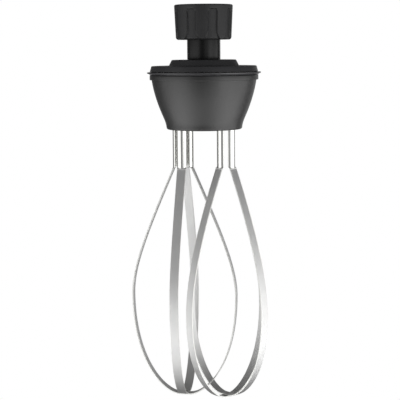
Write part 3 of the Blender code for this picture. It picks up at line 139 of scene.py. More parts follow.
# Extra points by linear interpolation, so that no stretch of the closed outline is longer than spacing
def resample(outline, spacing):
    path = np.vstack([outline, outline[:1]])
    reach = np.concatenate([[0], np.cumsum(np.linalg.norm(np.diff(path, axis=0), axis=1))])
    places = np.unique(np.concatenate([reach, np.arange(0, reach[-1], spacing)]))
    return np.stack([np.interp(places, reach, path[:, axis]) for axis in (0, 1)], axis=-1)[:-1]


# Outline (radius, height) turned about an upright axis: x = r cos a + centreX, y = r sin a + centreY, z = h
def turnedGrid(outline, facets, centreX=0.0, centreY=0.0):
    angle = np.linspace(0, 2 * np.pi, facets, endpoint=False)[None, :]
    radius, height = outline[:, 0][:, None], outline[:, 1][:, None]
    places = (radius * np.cos(angle) + centreX, radius * np.sin(angle) + centreY, height)
    return np.stack(np.broadcast_arrays(*places), axis=-1)


# The corners' filleted outline, turned about the upright axis through centreX
def turnedMesh(name, corners, facets, centreX=0.0, closed=True):
    outline = filletOutline(corners, closed=closed)
    return cleanMesh(gridMesh(name, turnedGrid(outline, facets, centreX), wrapRows=closed))


# A plain rod from foot to top: a cutter, or a boss before it is joined on
def rodMesh(name, radius, foot, top, facets=64, centreX=0.0, centreY=0.0):
    outline = np.array([(0, foot), (radius, foot), (radius, top), (0, top)])
    return cleanMesh(gridMesh(name, turnedGrid(outline, facets, centreX, centreY)))


# Flat outline (x, y) raised from foot to top and capped with one face at each end
def prismMesh(name, outline, foot, top):
    count = len(outline)
    points = np.concatenate([np.column_stack([outline, np.full(count, level)]) for level in (foot, top)])
    ring = np.arange(count)
    sides = np.stack([ring, (ring + 1) % count, (ring + 1) % count + count, ring + count], axis=-1)
    mesh = bpy.data.meshes.new(name)
    mesh.from_pydata(points.tolist(), [], [ring[::-1].tolist(), (ring + count).tolist()] + sides.tolist())
    return cleanMesh(mesh)


# Exact Boolean steps, worked out at once, so that no modifier is left on the mesh
def carve(mesh, steps):
    work = bpy.data.objects.new("work", mesh)
    bpy.context.scene.collection.objects.link(work)
    tools = []
    for operation, tool in steps:
        cutter = bpy.data.objects.new("tool", tool)
        bpy.context.scene.collection.objects.link(cutter)
        modifier = work.modifiers.new(operation, "BOOLEAN")
        modifier.operation, modifier.solver, modifier.object = operation, "EXACT", cutter
        tools.append(cutter)
    result = bpy.data.meshes.new_from_object(work.evaluated_get(bpy.context.evaluated_depsgraph_get()))
    for leftover in tools + [work]:
        bpy.data.objects.remove(leftover)
    return cleanMesh(result)


# Rises from 0 at low to 1 at high as 3t^2 - 2t^3
def smoothStep(low, high, value):
    t = np.clip((value - low) / (high - low), 0, 1)
    return t * t * (3 - 2 * t)


# A number on its way through a material: arithmetic with it adds Math nodes
class Signal:
    def __init__(self, nodes, socket):
        self.nodes, self.socket = nodes, socket

    def combine(self, operation, first, second):
        return self.nodes.node("ShaderNodeMath", {"operation": operation}, {0: first, 1: second})

    def __add__(self, other):
        return self.combine("ADD", self, other)

    def __sub__(self, other):
        return self.combine("SUBTRACT", self, other)

    def __rsub__(self, other):
        return self.combine("SUBTRACT", other, self)

    def __mul__(self, other):
        return self.combine("MULTIPLY", self, other)

    def __truediv__(self, other):
        return self.combine("DIVIDE", self, other)

    def __abs__(self):
        return self.nodes.node("ShaderNodeMath", {"operation": "ABSOLUTE"}, {0: self})

    __radd__ = __add__
    __rmul__ = __mul__


# Node tree of a material or of the world; node adds any node from its type, settings and socket values
class NodeTree:
    def __init__(self, tree):
        self.tree = tree

    def node(self, kind, settings=None, values=None, out=0):
        made = self.tree.nodes.new(kind)
        for key, value in (settings or {}).items():
            setattr(made, key, value)
        for key, value in (values or {}).items():
            if isinstance(value, Signal):
                self.tree.links.new(value.socket, made.inputs[key])
            else:
                made.inputs[key].default_value = value
        return Signal(self, made.outputs[out])

    # x, y and z of a vector
    def split(self, vector):
        node = self.node("ShaderNodeSeparateXYZ", None, {0: vector}).socket.node
        return [Signal(self, output) for output in node.outputs]

    # Whether the camera looks straight at the surface, and whether it sees it mirrored in another one
    def lightPath(self):
        node = self.node("ShaderNodeLightPath").socket.node
        return [Signal(self, node.outputs[name]) for name in ("Is Camera Ray", "Is Glossy Ray")]

    # 0 below low, 1 above high, smooth between
    def ramp(self, signal, low, high):
        return self.node("ShaderNodeMapRange", {"interpolation_type": "SMOOTHSTEP"},
                         {"Value": signal, "From Min": low, "From Max": high})


# One material: its Principled shader's fixed values are set here, and feed links what varies
class Paint(NodeTree):
    def __init__(self, name, fixed):
        self.material = bpy.data.materials.new(name)
        self.material.use_nodes = True
        super().__init__(self.material.node_tree)
        self.shader = self.tree.nodes["Principled BSDF"]
        for socket, value in fixed.items():
            self.shader.inputs[socket].default_value = value

    def feed(self, socket, signal):
        self.tree.links.new(signal.socket, self.shader.inputs[socket])

    def place(self, kind="Object"):
        node = self.node("ShaderNodeTexCoord").socket.node
        return Signal(self, node.outputs[kind])

    def stretch(self, vector, scale):
        return self.node("ShaderNodeMapping", None, {"Vector": vector, "Scale": scale})

    # Noise of about 0 to 1, one wave of it as long as 1 / scale
    def noise(self, vector, scale, detail=2.0, roughness=0.5):
        values = {"Vector": vector, "Scale": scale, "Detail": detail, "Roughness": roughness}
        return self.node("ShaderNodeTexNoise", None, values)

    # Colour a where the factor is 0, colour b where it is 1
    def mixColour(self, factor, a, b):
        first, second = [value if isinstance(value, Signal) else (*value, 1.0) for value in (a, b)]
        return self.node("ShaderNodeMix", {"data_type": "RGBA"}, {0: factor, 6: first, 7: second}, out=2)

    # Raises the surface by the distance where the height is 1
    def bump(self, height, distance):
        self.feed("Normal", self.node("ShaderNodeBump", None, {"Height": height, "Distance": distance}))


moulding = {  # what all plastics share
    "clouds": (0.3, 0.7), "cloudShare": 0.7, "grainDetail": 4.0, "grainRoughness": 0.6, "grainGloss": 0.06,
}
brushing = {  # what all metals share
    "lines": (0.25, 0.75), "lineDetail": 5.0, "lineRoughness": 0.65, "lineShare": 0.6, "cloudGloss": 0.06,
}


# The share of first, and the rest of second
def blend(first, second, share):
    return first * share + second * (1 - share)


# Moulded plastic: a fine spark-eroded grain, faint flow clouds and slightly uneven gloss
def mouldedPlastic(name, look):
    m = moulding
    paint = Paint(name, {"Specular IOR Level": look["specular"]})
    place = paint.place()
    clouds = paint.noise(place, look["cloudScale"])
    grain = paint.noise(place, look["grainScale"], m["grainDetail"], m["grainRoughness"])
    tone = blend(paint.ramp(clouds, *m["clouds"]), grain, m["cloudShare"])
    paint.feed("Base Color", paint.mixColour(tone, look["dark"], look["light"]))
    paint.feed("Roughness", clouds * look["glossSpread"] + grain * m["grainGloss"] + look["roughness"])
    paint.bump(grain, look["grainDepth"])
    return paint.material


# Drawn lines: noise over places that lineScale crowds across the lines and spreads along them
def drawnLines(paint, places, look):
    drawn = paint.stretch(places, look["lineScale"])
    return paint.noise(drawn, 1.0, brushing["lineDetail"], brushing["lineRoughness"])


# Metal: lines drawn along one direction, which vary its gloss, its tone and its height
def linedMetal(name, look):
    paint = Paint(name, {"Metallic": 1.0})
    place = paint.place()
    lines, clouds = drawnLines(paint, place, look), paint.noise(place, look["cloudScale"])
    tone = blend(lines, clouds, brushing["lineShare"])
    paint.feed("Base Color", paint.mixColour(tone, look["dark"], look["light"]))
    rough = paint.ramp(lines, *brushing["lines"]) * look["glossSpread"] + clouds * brushing["cloudGloss"]
    paint.feed("Roughness", rough + look["roughness"])
    paint.bump(lines, look["lineDepth"])
    return paint.material


# Whisk strip: brushed lengthways on the balloon, with brighter cut edges, and polished on the legs, which
# begin above the kink. The strip's own UV runs along it and across it. On the lowest stretch a dark tempered
# ring about each whisk's axis shows where the crossing is spot welded.
def stripMetal(name, look):
    paint = Paint(name, {"Metallic": 1.0})
    place, along = paint.place(), paint.place("UV")
    x, y, z = paint.split(place)
    lines, clouds = drawnLines(paint, along, look), paint.noise(place, look["cloudScale"])
    brushed = paint.mixColour(blend(lines, clouds, look["lineShare"]), look["dark"], look["light"])
    cut = paint.ramp(abs(paint.split(along)[1]), *look["cutEdge"])
    leg = paint.ramp(z, *[kinkHeight + rise for rise in look["legFade"]])
    tone = paint.mixColour(leg, paint.mixColour(cut, brushed, look["bright"]), look["polished"])
    fromAxis = abs(x) - whiskAxis
    awaySquared = fromAxis * fromAxis + y * y
    ring = 1 - paint.ramp(awaySquared, look["ring"][0] ** 2, look["ring"][1] ** 2)
    weld = ring * (1 - paint.ramp(z, look["weldTop"] - look["weldFade"], look["weldTop"]))
    paint.feed("Base Color", paint.mixColour(weld * look["weldShare"], tone, look["tempered"]))
    rough = paint.ramp(lines, *brushing["lines"]) * look["glossSpread"] + look["roughness"]
    paint.feed("Roughness", rough - leg * look["polish"])
    paint.bump(lines * (1 - leg * look["legSmoothness"]), look["lineDepth"])
    return paint.material


plasticLooks = {
    "collarPlastic": {"dark": (0.010, 0.010, 0.011), "light": (0.016, 0.016, 0.017), "roughness": 0.44,
                      "glossSpread": 0.12, "specular": 0.38, "cloudScale": 45.0, "grainScale": 2200.0,
                      "grainDepth": 0.05 * mm},
    "neckPlastic": {"dark": (0.003, 0.003, 0.003), "light": (0.005, 0.005, 0.005), "roughness": 0.20,
                    "glossSpread": 0.08, "specular": 0.22, "cloudScale": 60.0, "grainScale": 1400.0,
                    "grainDepth": 0.008 * mm},
    "coverPlastic": {"dark": (0.012, 0.012, 0.014), "light": (0.019, 0.019, 0.021), "roughness": 0.38,
                     "glossSpread": 0.12, "specular": 0.45, "cloudScale": 40.0, "grainScale": 2200.0,
                     "grainDepth": 0.05 * mm},
    "bowlPlastic": {"dark": (0.007, 0.007, 0.007), "light": (0.012, 0.012, 0.012), "roughness": 0.32,
                    "glossSpread": 0.12, "specular": 0.66, "cloudScale": 35.0, "grainScale": 2200.0,
                    "grainDepth": 0.05 * mm},
    "gasketRubber": {"dark": (0.013, 0.013, 0.015), "light": (0.021, 0.021, 0.024), "roughness": 0.24,
                     "glossSpread": 0.10, "specular": 0.9, "cloudScale": 90.0, "grainScale": 1500.0,
                     "grainDepth": 0.03 * mm},
    "platePlastic": {"dark": (0.42, 0.43, 0.42), "light": (0.58, 0.59, 0.57), "roughness": 0.45,
                     "glossSpread": 0.15, "specular": 0.5, "cloudScale": 70.0, "grainScale": 900.0,
                     "grainDepth": 0.03 * mm},
    "gearNylon": {"dark": (0.62, 0.60, 0.52), "light": (0.76, 0.74, 0.66), "roughness": 0.40,
                  "glossSpread": 0.15, "specular": 0.5, "cloudScale": 90.0, "grainScale": 1200.0,
                  "grainDepth": 0.02 * mm},
}
metalLooks = {
    "springSteel": {"dark": (0.24, 0.25, 0.28), "light": (0.38, 0.39, 0.41), "roughness": 0.30,
                    "glossSpread": 0.2, "lineScale": (300.0, 300.0, 1500.0), "lineDepth": 0.006 * mm,
                    "cloudScale": 120.0},
    "platedSteel": {"dark": (0.44, 0.44, 0.45), "light": (0.58, 0.58, 0.58), "roughness": 0.24,
                    "glossSpread": 0.2, "lineScale": (200.0, 200.0, 2500.0), "lineDepth": 0.006 * mm,
                    "cloudScale": 90.0},
    "bearingSteel": {"dark": (0.56, 0.56, 0.58), "light": (0.68, 0.68, 0.69), "roughness": 0.16,
                     "glossSpread": 0.1, "lineScale": (150.0, 150.0, 2500.0), "lineDepth": 0.003 * mm,
                     "cloudScale": 90.0},
    "bushBronze": {"dark": (0.38, 0.24, 0.11), "light": (0.52, 0.35, 0.18), "roughness": 0.36,
                   "glossSpread": 0.2, "lineScale": (900.0, 900.0, 900.0), "lineDepth": 0.01 * mm,
                   "cloudScale": 150.0},
}
stripLook = {
    "dark": (0.56, 0.56, 0.57), "light": (0.70, 0.70, 0.68), "bright": (0.72, 0.72, 0.70),
    "polished": (0.72, 0.72, 0.70), "tempered": (0.16, 0.12, 0.09), "roughness": 0.46, "glossSpread": 0.10,
    "polish": 0.33, "lineScale": (60.0, 2600.0, 1.0), "lineDepth": 0.15 * mm, "lineShare": 0.5,
    "cloudScale": 60.0, "cutEdge": (3.75 * mm, 3.95 * mm), "legFade": (-1 * mm, 2 * mm),
    "legSmoothness": 0.9, "ring": (0.9 * mm, 2.6 * mm), "weldTop": -358 * mm, "weldFade": 2 * mm,
    "weldShare": 0.55,
}
paints = {name: mouldedPlastic(name, look) for name, look in plasticLooks.items()}
paints.update({name: linedMetal(name, look) for name, look in metalLooks.items()})
paints["stripSteel"] = stripMetal("stripSteel", stripLook)
slotPaints = {
    "collar_plastic": "collarPlastic", "neck_plastic": "neckPlastic", "cover_plastic": "coverPlastic",
    "bowl_plastic": "bowlPlastic", "plate_plastic": "platePlastic", "gear_nylon": "gearNylon",
    "gasket_rubber": "gasketRubber", "spring_steel": "springSteel", "plated_steel": "platedSteel",
    "bearing_steel": "bearingSteel", "bush_bronze": "bushBronze", "strip_steel": "stripSteel",
}
for subpart in frame["record"]["subparts"]:
    node = frame["nodes"][subpart["node"]]
    node.data.materials.clear()
    node.data.materials.append(paints[slotPaints[subpart["material_slot"]]])
print("materials made:", len(paints))

collar = {
    "top": 0.0, "foot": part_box("locking_collar")[0].z, "topRadius": 27.1 * mm, "footRadius": 25.6 * mm,
    "bore": 22.2 * mm, "topEdge": 1.3 * mm, "footEdge": 2.4 * mm, "recessRadius": 18.5 * mm,
    "lipRadius": 15.7 * mm, "lipFoot": -29.4 * mm, "lipTop": -26.4 * mm, "mouthChamfer": 1.0 * mm,
    "edge": 0.3 * mm, "footFade": (19.5 * mm, 24.5 * mm), "facets": 400, "spacing": 0.45 * mm,
    "sharpAngle": 50,
}
grip = {
    "count": 8, "angle": math.radians(18.6), "halfWidth": 4.8 * mm, "depth": 1.7 * mm, "top": -4.0 * mm,
    "corner": 2.8 * mm, "flare": 4.0 * mm, "flareHeight": 9.0 * mm, "soft": 0.7 * mm,
}


# Depth share of the grip recesses at an angle and a height: 1 on their floors, 0 on the ribs. A recess is as
# wide as its rounded top allows, flares towards its open foot, and its wall rises over the soft width.
def gripShare(angle, height):
    pitch = 2 * np.pi / grip["count"]
    middle = -np.pi / 2 + grip["angle"]
    away = np.abs((angle - middle + pitch / 2) % pitch - pitch / 2) * collar["topRadius"]
    fromTop = np.clip(grip["corner"] - (grip["top"] - height), 0, grip["corner"])
    rounding = grip["corner"] - np.sqrt(grip["corner"] ** 2 - fromTop ** 2)
    fromFoot = np.clip(1 - (height - collar["foot"]) / grip["flareHeight"], 0, 1)
    width = grip["halfWidth"] - rounding + grip["flare"] * fromFoot ** 2
    side = smoothStep(0, grip["soft"], width - away)
    return side * smoothStep(0, grip["soft"], grip["top"] - height)


# The collar's outline turned, with the recesses taken off the radius of its outer side. On the foot they fade
# inwards, so that no face folds over.
def collarMesh():
    c = collar
    corners = [
        (c["topRadius"], c["top"], c["topEdge"]), (c["footRadius"], c["foot"], c["footEdge"]),
        (c["recessRadius"], c["foot"], c["edge"]), (c["recessRadius"], c["lipFoot"], 0),
        (c["lipRadius"], c["lipFoot"], c["edge"]), (c["lipRadius"], c["lipTop"], c["edge"]),
        (c["bore"], c["lipTop"], 0), (c["bore"], c["top"] - c["mouthChamfer"], c["edge"]),
        (c["bore"] + c["mouthChamfer"], c["top"], c["edge"])]
    points = turnedGrid(resample(filletOutline(corners), c["spacing"]), c["facets"])
    angle = np.arctan2(points[..., 1], points[..., 0])
    radius = np.hypot(points[..., 0], points[..., 1])
    onFoot = smoothStep(*c["footFade"], radius)
    outside = np.where(points[..., 2] < c["lipFoot"], onFoot, radius > c["footFade"][1])
    dented = radius - grip["depth"] * gripShare(angle, points[..., 2]) * outside
    points[..., :2] *= (dented / radius)[..., None]
    return cleanMesh(gridMesh("lockingCollar", points, wrapRows=True), c["sharpAngle"])


addPiece("lockingCollar", collarMesh(), "collar", "collar_plastic", ["locking_collar"])
print("collar made")

neck = {
    "radius": 15.4 * mm, "foot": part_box("neck_tube")[0].z, "seat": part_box("neck_tube")[1].z,
    "coverTop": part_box("upper_cover")[1].z, "gap": 0.3 * mm, "spigot": 17.5 * mm, "bore": 11.7 * mm,
    "boreDepth": 18.0 * mm, "shoulder": 20.6 * mm, "shoulderFoot": -26.1 * mm, "shoulderTop": -22.8 * mm,
    "tail": 14.2 * mm, "seatRadius": 11.3 * mm, "groove": 14.4 * mm, "grooveTop": -29.4 * mm,
    "grooveFoot": -31.4 * mm, "edge": 0.3 * mm, "spigotEdge": 0.8 * mm, "facets": 192,
}


# The neck: its outline turned, from the bore's rim over spigot, shoulder, groove and tail to the seat
def neckMesh():
    n = neck
    ledge, step = n["coverTop"] + n["gap"], n["seat"] - n["boreDepth"]
    corners = [
        (n["bore"], n["seat"], n["edge"]), (n["spigot"], n["seat"], n["spigotEdge"]),
        (n["spigot"], n["shoulderTop"], 0), (n["shoulder"], n["shoulderTop"], n["edge"]),
        (n["shoulder"], n["shoulderFoot"], n["edge"]), (n["radius"], n["shoulderFoot"], 0),
        (n["radius"], n["grooveTop"], 0), (n["groove"], n["grooveTop"], 0), (n["groove"], n["grooveFoot"], 0),
        (n["radius"], n["grooveFoot"], 0), (n["radius"], ledge, n["edge"]), (n["tail"], ledge, 0),
        (n["tail"], n["foot"], n["edge"]), (n["seatRadius"], n["foot"], 0), (n["seatRadius"], step, 0),
        (n["bore"], step, 0)]
    return turnedMesh("neckTube", corners, n["facets"])


addPiece("neckTube", neckMesh(), "housing", "neck_plastic", ["neck_tube"])
print("neck made")

cover = {
    "bore": 14.5 * mm, "bossRadius": 29.8 * mm, "bossFoot": 32.3 * mm, "bossTop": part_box("upper_cover")[1].z,
    "bossHeight": 5.6 * mm, "bossEdge": 1.5 * mm, "blend": (1.4 * mm, 0.6 * mm), "rimRadius": 48.7 * mm,
    "rimEdge": 0.9 * mm, "skirtRadius": 50.2 * mm, "skirtFoot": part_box("upper_cover")[0].z, "wall": 3.1 * mm,
    "roof": 3.8 * mm, "edge": 0.3 * mm, "soft": 0.8 * mm, "inset": 1.0 * mm, "screwCircle": 24.5 * mm,
    "screwAngle": math.radians(55), "screwBoss": 3.5 * mm, "screwHole": 1.65 * mm, "plateGap": 0.3 * mm,
    "facets": 288, "screwFacets": 32,
}


# The cover: its outline turned, with four screw bosses joined on below the roof and drilled
def coverMesh():
    c = cover
    top, under = c["bossTop"] - c["bossHeight"], c["bossTop"] - c["roof"]
    inner = c["skirtRadius"] - c["wall"]
    corners = [
        (c["bore"], c["bossTop"], c["edge"]), (c["bossRadius"], c["bossTop"], c["bossEdge"]),
        (c["bossFoot"], top + c["blend"][1], c["soft"]), (c["bossFoot"] + c["blend"][0], top, c["blend"][1]),
        (c["rimRadius"], top, c["rimEdge"]), (c["skirtRadius"], c["skirtFoot"], c["edge"]),
        (inner, c["skirtFoot"], c["edge"]), (inner, top - c["wall"], c["soft"]),
        (c["bossFoot"] - c["inset"], top - c["wall"], c["edge"]),
        (c["bossRadius"] - c["inset"], under, c["edge"]), (c["bore"], under, 0)]
    mesh = turnedMesh("upperCover", corners, c["facets"])
    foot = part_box("bearing_plate")[1].z + c["plateGap"]
    steps = []
    for angle in (c["screwAngle"], math.pi - c["screwAngle"], math.pi + c["screwAngle"], -c["screwAngle"]):
        x, y = c["screwCircle"] * math.cos(angle), c["screwCircle"] * math.sin(angle)
        boss = rodMesh("boss", c["screwBoss"], foot, under + c["inset"], c["screwFacets"], x, y)
        hole = rodMesh("hole", c["screwHole"], foot - c["inset"], under + c["edge"], c["screwFacets"], x, y)
        steps += [("UNION", boss), ("DIFFERENCE", hole)]
    return carve(mesh, steps)


gasket = {
    "inner": 47.1 * mm, "root": 50.3 * mm, "tip": 52.8 * mm, "halfTip": 0.55 * mm, "tipDrop": 0.75 * mm,
    "waist": 51.2 * mm, "rise": 0.65 * mm, "drop": 0.95 * mm, "top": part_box("rim_gasket")[1].z,
    "foot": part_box("rim_gasket")[0].z, "edge": 0.15 * mm, "hollow": 0.55 * mm, "lipEdge": 0.45 * mm,
    "facets": 288,
}


# The gasket: a flat ring whose lip narrows from the waist to a rounded tip
def gasketMesh():
    g = gasket
    middle = g["top"] - g["tipDrop"]
    corners = [
        (g["inner"], g["top"], g["edge"]), (g["root"], g["top"], g["edge"]),
        (g["waist"], middle + g["rise"], g["hollow"]), (g["tip"], middle + g["halfTip"], g["lipEdge"]),
        (g["tip"], middle - g["halfTip"], g["lipEdge"]), (g["waist"], middle - g["drop"], g["hollow"]),
        (g["root"], g["foot"], g["edge"]), (g["inner"], g["foot"], g["edge"])]
    return turnedMesh("rimGasket", corners, g["facets"])


bowl = {
    "gasketFoot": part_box("rim_gasket")[0].z, "gap": 0.3 * mm, "foot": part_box("gearbox_bowl")[0].z,
    "band": 50.4 * mm, "bandHeight": 4.4 * mm, "bandEdge": 0.5 * mm, "bandStep": 1.7 * mm,
    "bandWall": 4.2 * mm, "shoulder": 48.5 * mm, "knee": 37.8 * mm, "kneeHeight": 10.5 * mm,
    "footRadius": 35.2 * mm, "footEdge": 1.8 * mm, "wall": 3.0 * mm,
    "slopes": [math.radians(angle) for angle in (9, 24, 8)],  # from upright, at shoulder, knee and foot
    "sideSteps": 24, "footSteps": 10, "lap": 0.1 * mm, "floor": 4.0 * mm, "floorCorner": 0.8 * mm,
    "root": 1.6 * mm, "hubBore": 11.4 * mm, "hubDepth": 9.1 * mm, "seatBore": 10.1 * mm,
    "seatBoss": 13.0 * mm, "seatTop": -94.5 * mm, "screwOffset": 24.0 * mm, "headBore": 3.9 * mm,
    "headDepth": 3.4 * mm, "screwBore": 2.2 * mm, "screwBoss": 4.6 * mm,
    "bossTop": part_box("gearbox_bowl")[1].z, "edge": 0.3 * mm, "spare": 1.0 * mm, "facets": 288,
    "seatFacets": 72, "pocketFacets": 96, "screwFacets": (40, 48, 32),
}


# Cubic Hermite stretch of the wall: radius against height, with the wall's slope from upright at each end
def flank(start, end, startSlope, endSlope, steps):
    t = np.linspace(0, 1, steps + 1)
    span = end[1] - start[1]
    first, last = math.tan(startSlope) * span, math.tan(endSlope) * span
    radius = (start[0] * (2 * t ** 3 - 3 * t ** 2 + 1) + end[0] * (3 * t ** 2 - 2 * t ** 3)
              + first * (t ** 3 - 2 * t ** 2 + t) + last * (t ** 3 - t ** 2))
    return np.column_stack([radius, start[1] + span * t])


# The bowl: two flanks that meet at the knee, a rounded foot, a stepped band and an inner wall offset by the
# wall's thickness, turned; then the hub pockets, bearing seats and screw bosses
def bowlMesh():
    b = bowl
    rim, floor = b["gasketFoot"] - b["gap"], b["foot"] + b["floor"]
    bandFoot = rim - b["bandHeight"]
    shoulderTop = (b["shoulder"], bandFoot - b["bandStep"] / 2)
    knee = (b["knee"], b["foot"] + b["kneeHeight"])
    footTop = (b["footRadius"], b["foot"] + b["footEdge"])
    side = np.vstack([
        flank(shoulderTop, knee, b["slopes"][0], b["slopes"][1], b["sideSteps"]),
        flank(knee, footTop, b["slopes"][1], b["slopes"][2], b["footSteps"])[1:]])
    inside = side[side[:, 1] > floor + b["spare"]][::-1] - [b["wall"], 0]
    footArc = filletOutline(
        [(*side[-2], 0), (b["footRadius"] - b["lap"], b["foot"], b["footEdge"]), (0, b["foot"], 0)],
        closed=False)[1:]
    innerBand = b["band"] - b["bandWall"]
    bandArc = filletOutline([
        (innerBand, rim, 0), (b["band"], rim, b["bandEdge"]), (b["band"], bandFoot, b["bandEdge"]),
        (b["shoulder"] + b["lap"], bandFoot - b["lap"], b["edge"]), (*side[0], 0)], closed=False)
    outline = np.vstack([
        [(0, floor), (inside[0, 0] - b["floorCorner"], floor)], inside,
        [(innerBand, bandFoot + b["spare"])], bandArc, side[1:-2], footArc])
    mesh = cleanMesh(gridMesh("gearboxBowl", turnedGrid(outline, b["facets"])))
    root, below = b["foot"] + b["root"], b["foot"] - b["spare"]
    steps = []
    for x in (-whiskAxis, whiskAxis):
        boss = rodMesh("boss", b["seatBoss"], root, b["seatTop"], b["seatFacets"], x)
        pocket = rodMesh("pocket", b["hubBore"], below, b["foot"] + b["hubDepth"], b["pocketFacets"], x)
        seat = rodMesh("seat", b["seatBore"], b["foot"], b["seatTop"] + b["spare"], b["pocketFacets"], x)
        steps += [("UNION", boss), ("DIFFERENCE", pocket), ("DIFFERENCE", seat)]
    bossFacets, headFacets, holeFacets = b["screwFacets"]
    for y in (-b["screwOffset"], b["screwOffset"]):
        boss = rodMesh("boss", b["screwBoss"], root, b["bossTop"], bossFacets, 0, y)
        head = rodMesh("head", b["headBore"], below, b["foot"] + b["headDepth"], headFacets, 0, y)
        hole = rodMesh("hole", b["screwBore"], below, b["bossTop"] + b["spare"], holeFacets, 0, y)
        steps += [("UNION", boss), ("DIFFERENCE", head), ("DIFFERENCE", hole)]
    return carve(mesh, steps)


addPiece("upperCover", coverMesh(), "housing", "cover_plastic", ["upper_cover"])
addPiece("rimGasket", gasketMesh(), "housing", "gasket_rubber", ["rim_gasket"])
addPiece("gearboxBowl", bowlMesh(), "housing", "bowl_plastic", ["gearbox_bowl"])
print("housing made")

strip = {
    "width": 8.15 * mm, "thickness": 1.1 * mm, "edge": 0.2 * mm, "legChord": 9.4 * mm, "legSagitta": 3.0 * mm,
    "legRadius": 9.25 * mm, "legTop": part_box("left_outer_loop")[1].z, "legEnd": 0.1 * mm,
    "runout": 3.2 * mm, "runoutDrop": 0.3 * mm, "kinkAngle": math.radians(24), "kinkRadius": 3.0 * mm,
    "nest": 1.4 * mm, "footSpare": 0.4 * mm, "handles": (0.55, 0.20, 0.70, 0.40), "leastSagitta": 1e-7,
    "legPoints": 9, "runoutPoints": 14, "kinkSteps": 8, "curveSteps": 52, "faceSteps": 14, "edgeSteps": 3,
    "sharpAngle": 60,
}
whisks = {
    "left": {"x": -whiskAxis, "angle": math.radians(-10.8), "reach": 49.6 * mm, "widest": 120.0 * mm,
             "drop": 215.6 * mm, "turn": 1},
    "right": {"x": whiskAxis, "angle": math.radians(43.5), "reach": 48.8 * mm, "widest": 136.5 * mm,
              "drop": 218.3 * mm, "turn": -1},
}


# Cubic curve through four (radius, height) points, as places and unit directions
def cubic(points, steps):
    a, b, c, d = [np.array(point) for point in points]
    t = np.linspace(0, 1, steps + 1)[1:, None]
    place = a * (1 - t) ** 3 + b * 3 * t * (1 - t) ** 2 + c * 3 * t ** 2 * (1 - t) + d * t ** 3
    heading = (b - a) * 3 * (1 - t) ** 2 + (c - b) * 6 * t * (1 - t) + (d - c) * 3 * t ** 2
    return place, heading / np.linalg.norm(heading, axis=1)[:, None]


# One half of a loop in its own plane: straight leg, kink as an arc, two cubics and the flat foot.
# Curl falls from 1 on the half-round leg to 0 on the flat strip along a quarter of an ellipse.
def halfPath(whisk, drop):
    s = strip
    runoutFoot = kinkHeight + s["runoutDrop"]
    runout = runoutFoot + s["runout"] * (1 - np.sin(np.linspace(0, np.pi / 2, s["runoutPoints"])))
    upright = np.linspace(s["legTop"], runout[0] + s["legEnd"], s["legPoints"])
    height = np.concatenate([upright[:-1], runout])
    share = np.clip(1 - (height - runoutFoot) / s["runout"], 0, 1)
    curl = np.sqrt(1 - share ** 2)
    angle = np.linspace(0, s["kinkAngle"], s["kinkSteps"] + 1)[1:]
    arc = np.column_stack([s["legRadius"] + s["kinkRadius"] * (1 - np.cos(angle)),
                           kinkHeight - s["kinkRadius"] * np.sin(angle)])
    places = [np.column_stack([np.full_like(height, s["legRadius"]), height]), arc]
    headings = [np.tile([0.0, -1.0], (len(height), 1)), np.column_stack([np.sin(angle), -np.cos(angle)])]
    start = arc[-1]
    widest = np.array([whisk["reach"], kinkHeight - whisk["widest"]])
    foot = np.array([s["width"] / 2 + s["footSpare"], kinkHeight - drop])
    run, fall = start[1] - widest[1], widest[1] - foot[1]
    above, near, below, flat = s["handles"]
    leaving = start + np.array([math.tan(s["kinkAngle"]), -1.0]) * above * run
    upper = [start, leaving, widest + [0, near * run], widest]
    lower = [widest, widest - [0, below * fall], (flat * whisk["reach"], foot[1]), foot]
    for curve in (upper, lower):
        place, heading = cubic(curve, s["curveSteps"])
        places.append(place)
        headings.append(heading)
    places.append(np.array([[foot[0] / 2, foot[1]], [0.0, foot[1]]]))
    headings.append(np.array([[-1.0, 0.0], [-1.0, 0.0]]))
    place, heading = np.vstack(places), np.vstack(headings)
    return place, heading, np.concatenate([curl, np.zeros(len(place) - len(curl))])


# Both halves: the second is the first mirrored in the axis and walked back up
def loopPath(whisk, drop):
    place, heading, curl = halfPath(whisk, drop)
    place = np.vstack([place, place[-2::-1] * [-1, 1]])
    heading = np.vstack([heading, heading[-2::-1] * [1, -1]])
    return place, heading, np.concatenate([curl, curl[-2::-1]])


# The flat strip's section, walked once round: two faces and two cut edges with rounded corners, as (across,
# out) pairs; a corner's points lie on a quarter circle of the edge's radius
def stripSection():
    half, thick, edge = strip["width"] / 2, strip["thickness"] / 2, strip["edge"]
    face = np.linspace(-1, 1, strip["faceSteps"] + 1) * (half - edge)
    bend = np.linspace(0, np.pi / 2, strip["edgeSteps"] + 1)[1:]
    outer = np.column_stack([face, np.full_like(face, thick)])
    corner = np.column_stack([half - edge + edge * np.sin(bend), thick - edge + edge * np.cos(bend)])
    right = np.vstack([corner, corner[::-1] * [1, -1]])[:-1]
    return np.vstack([outer, right, -outer, -right])


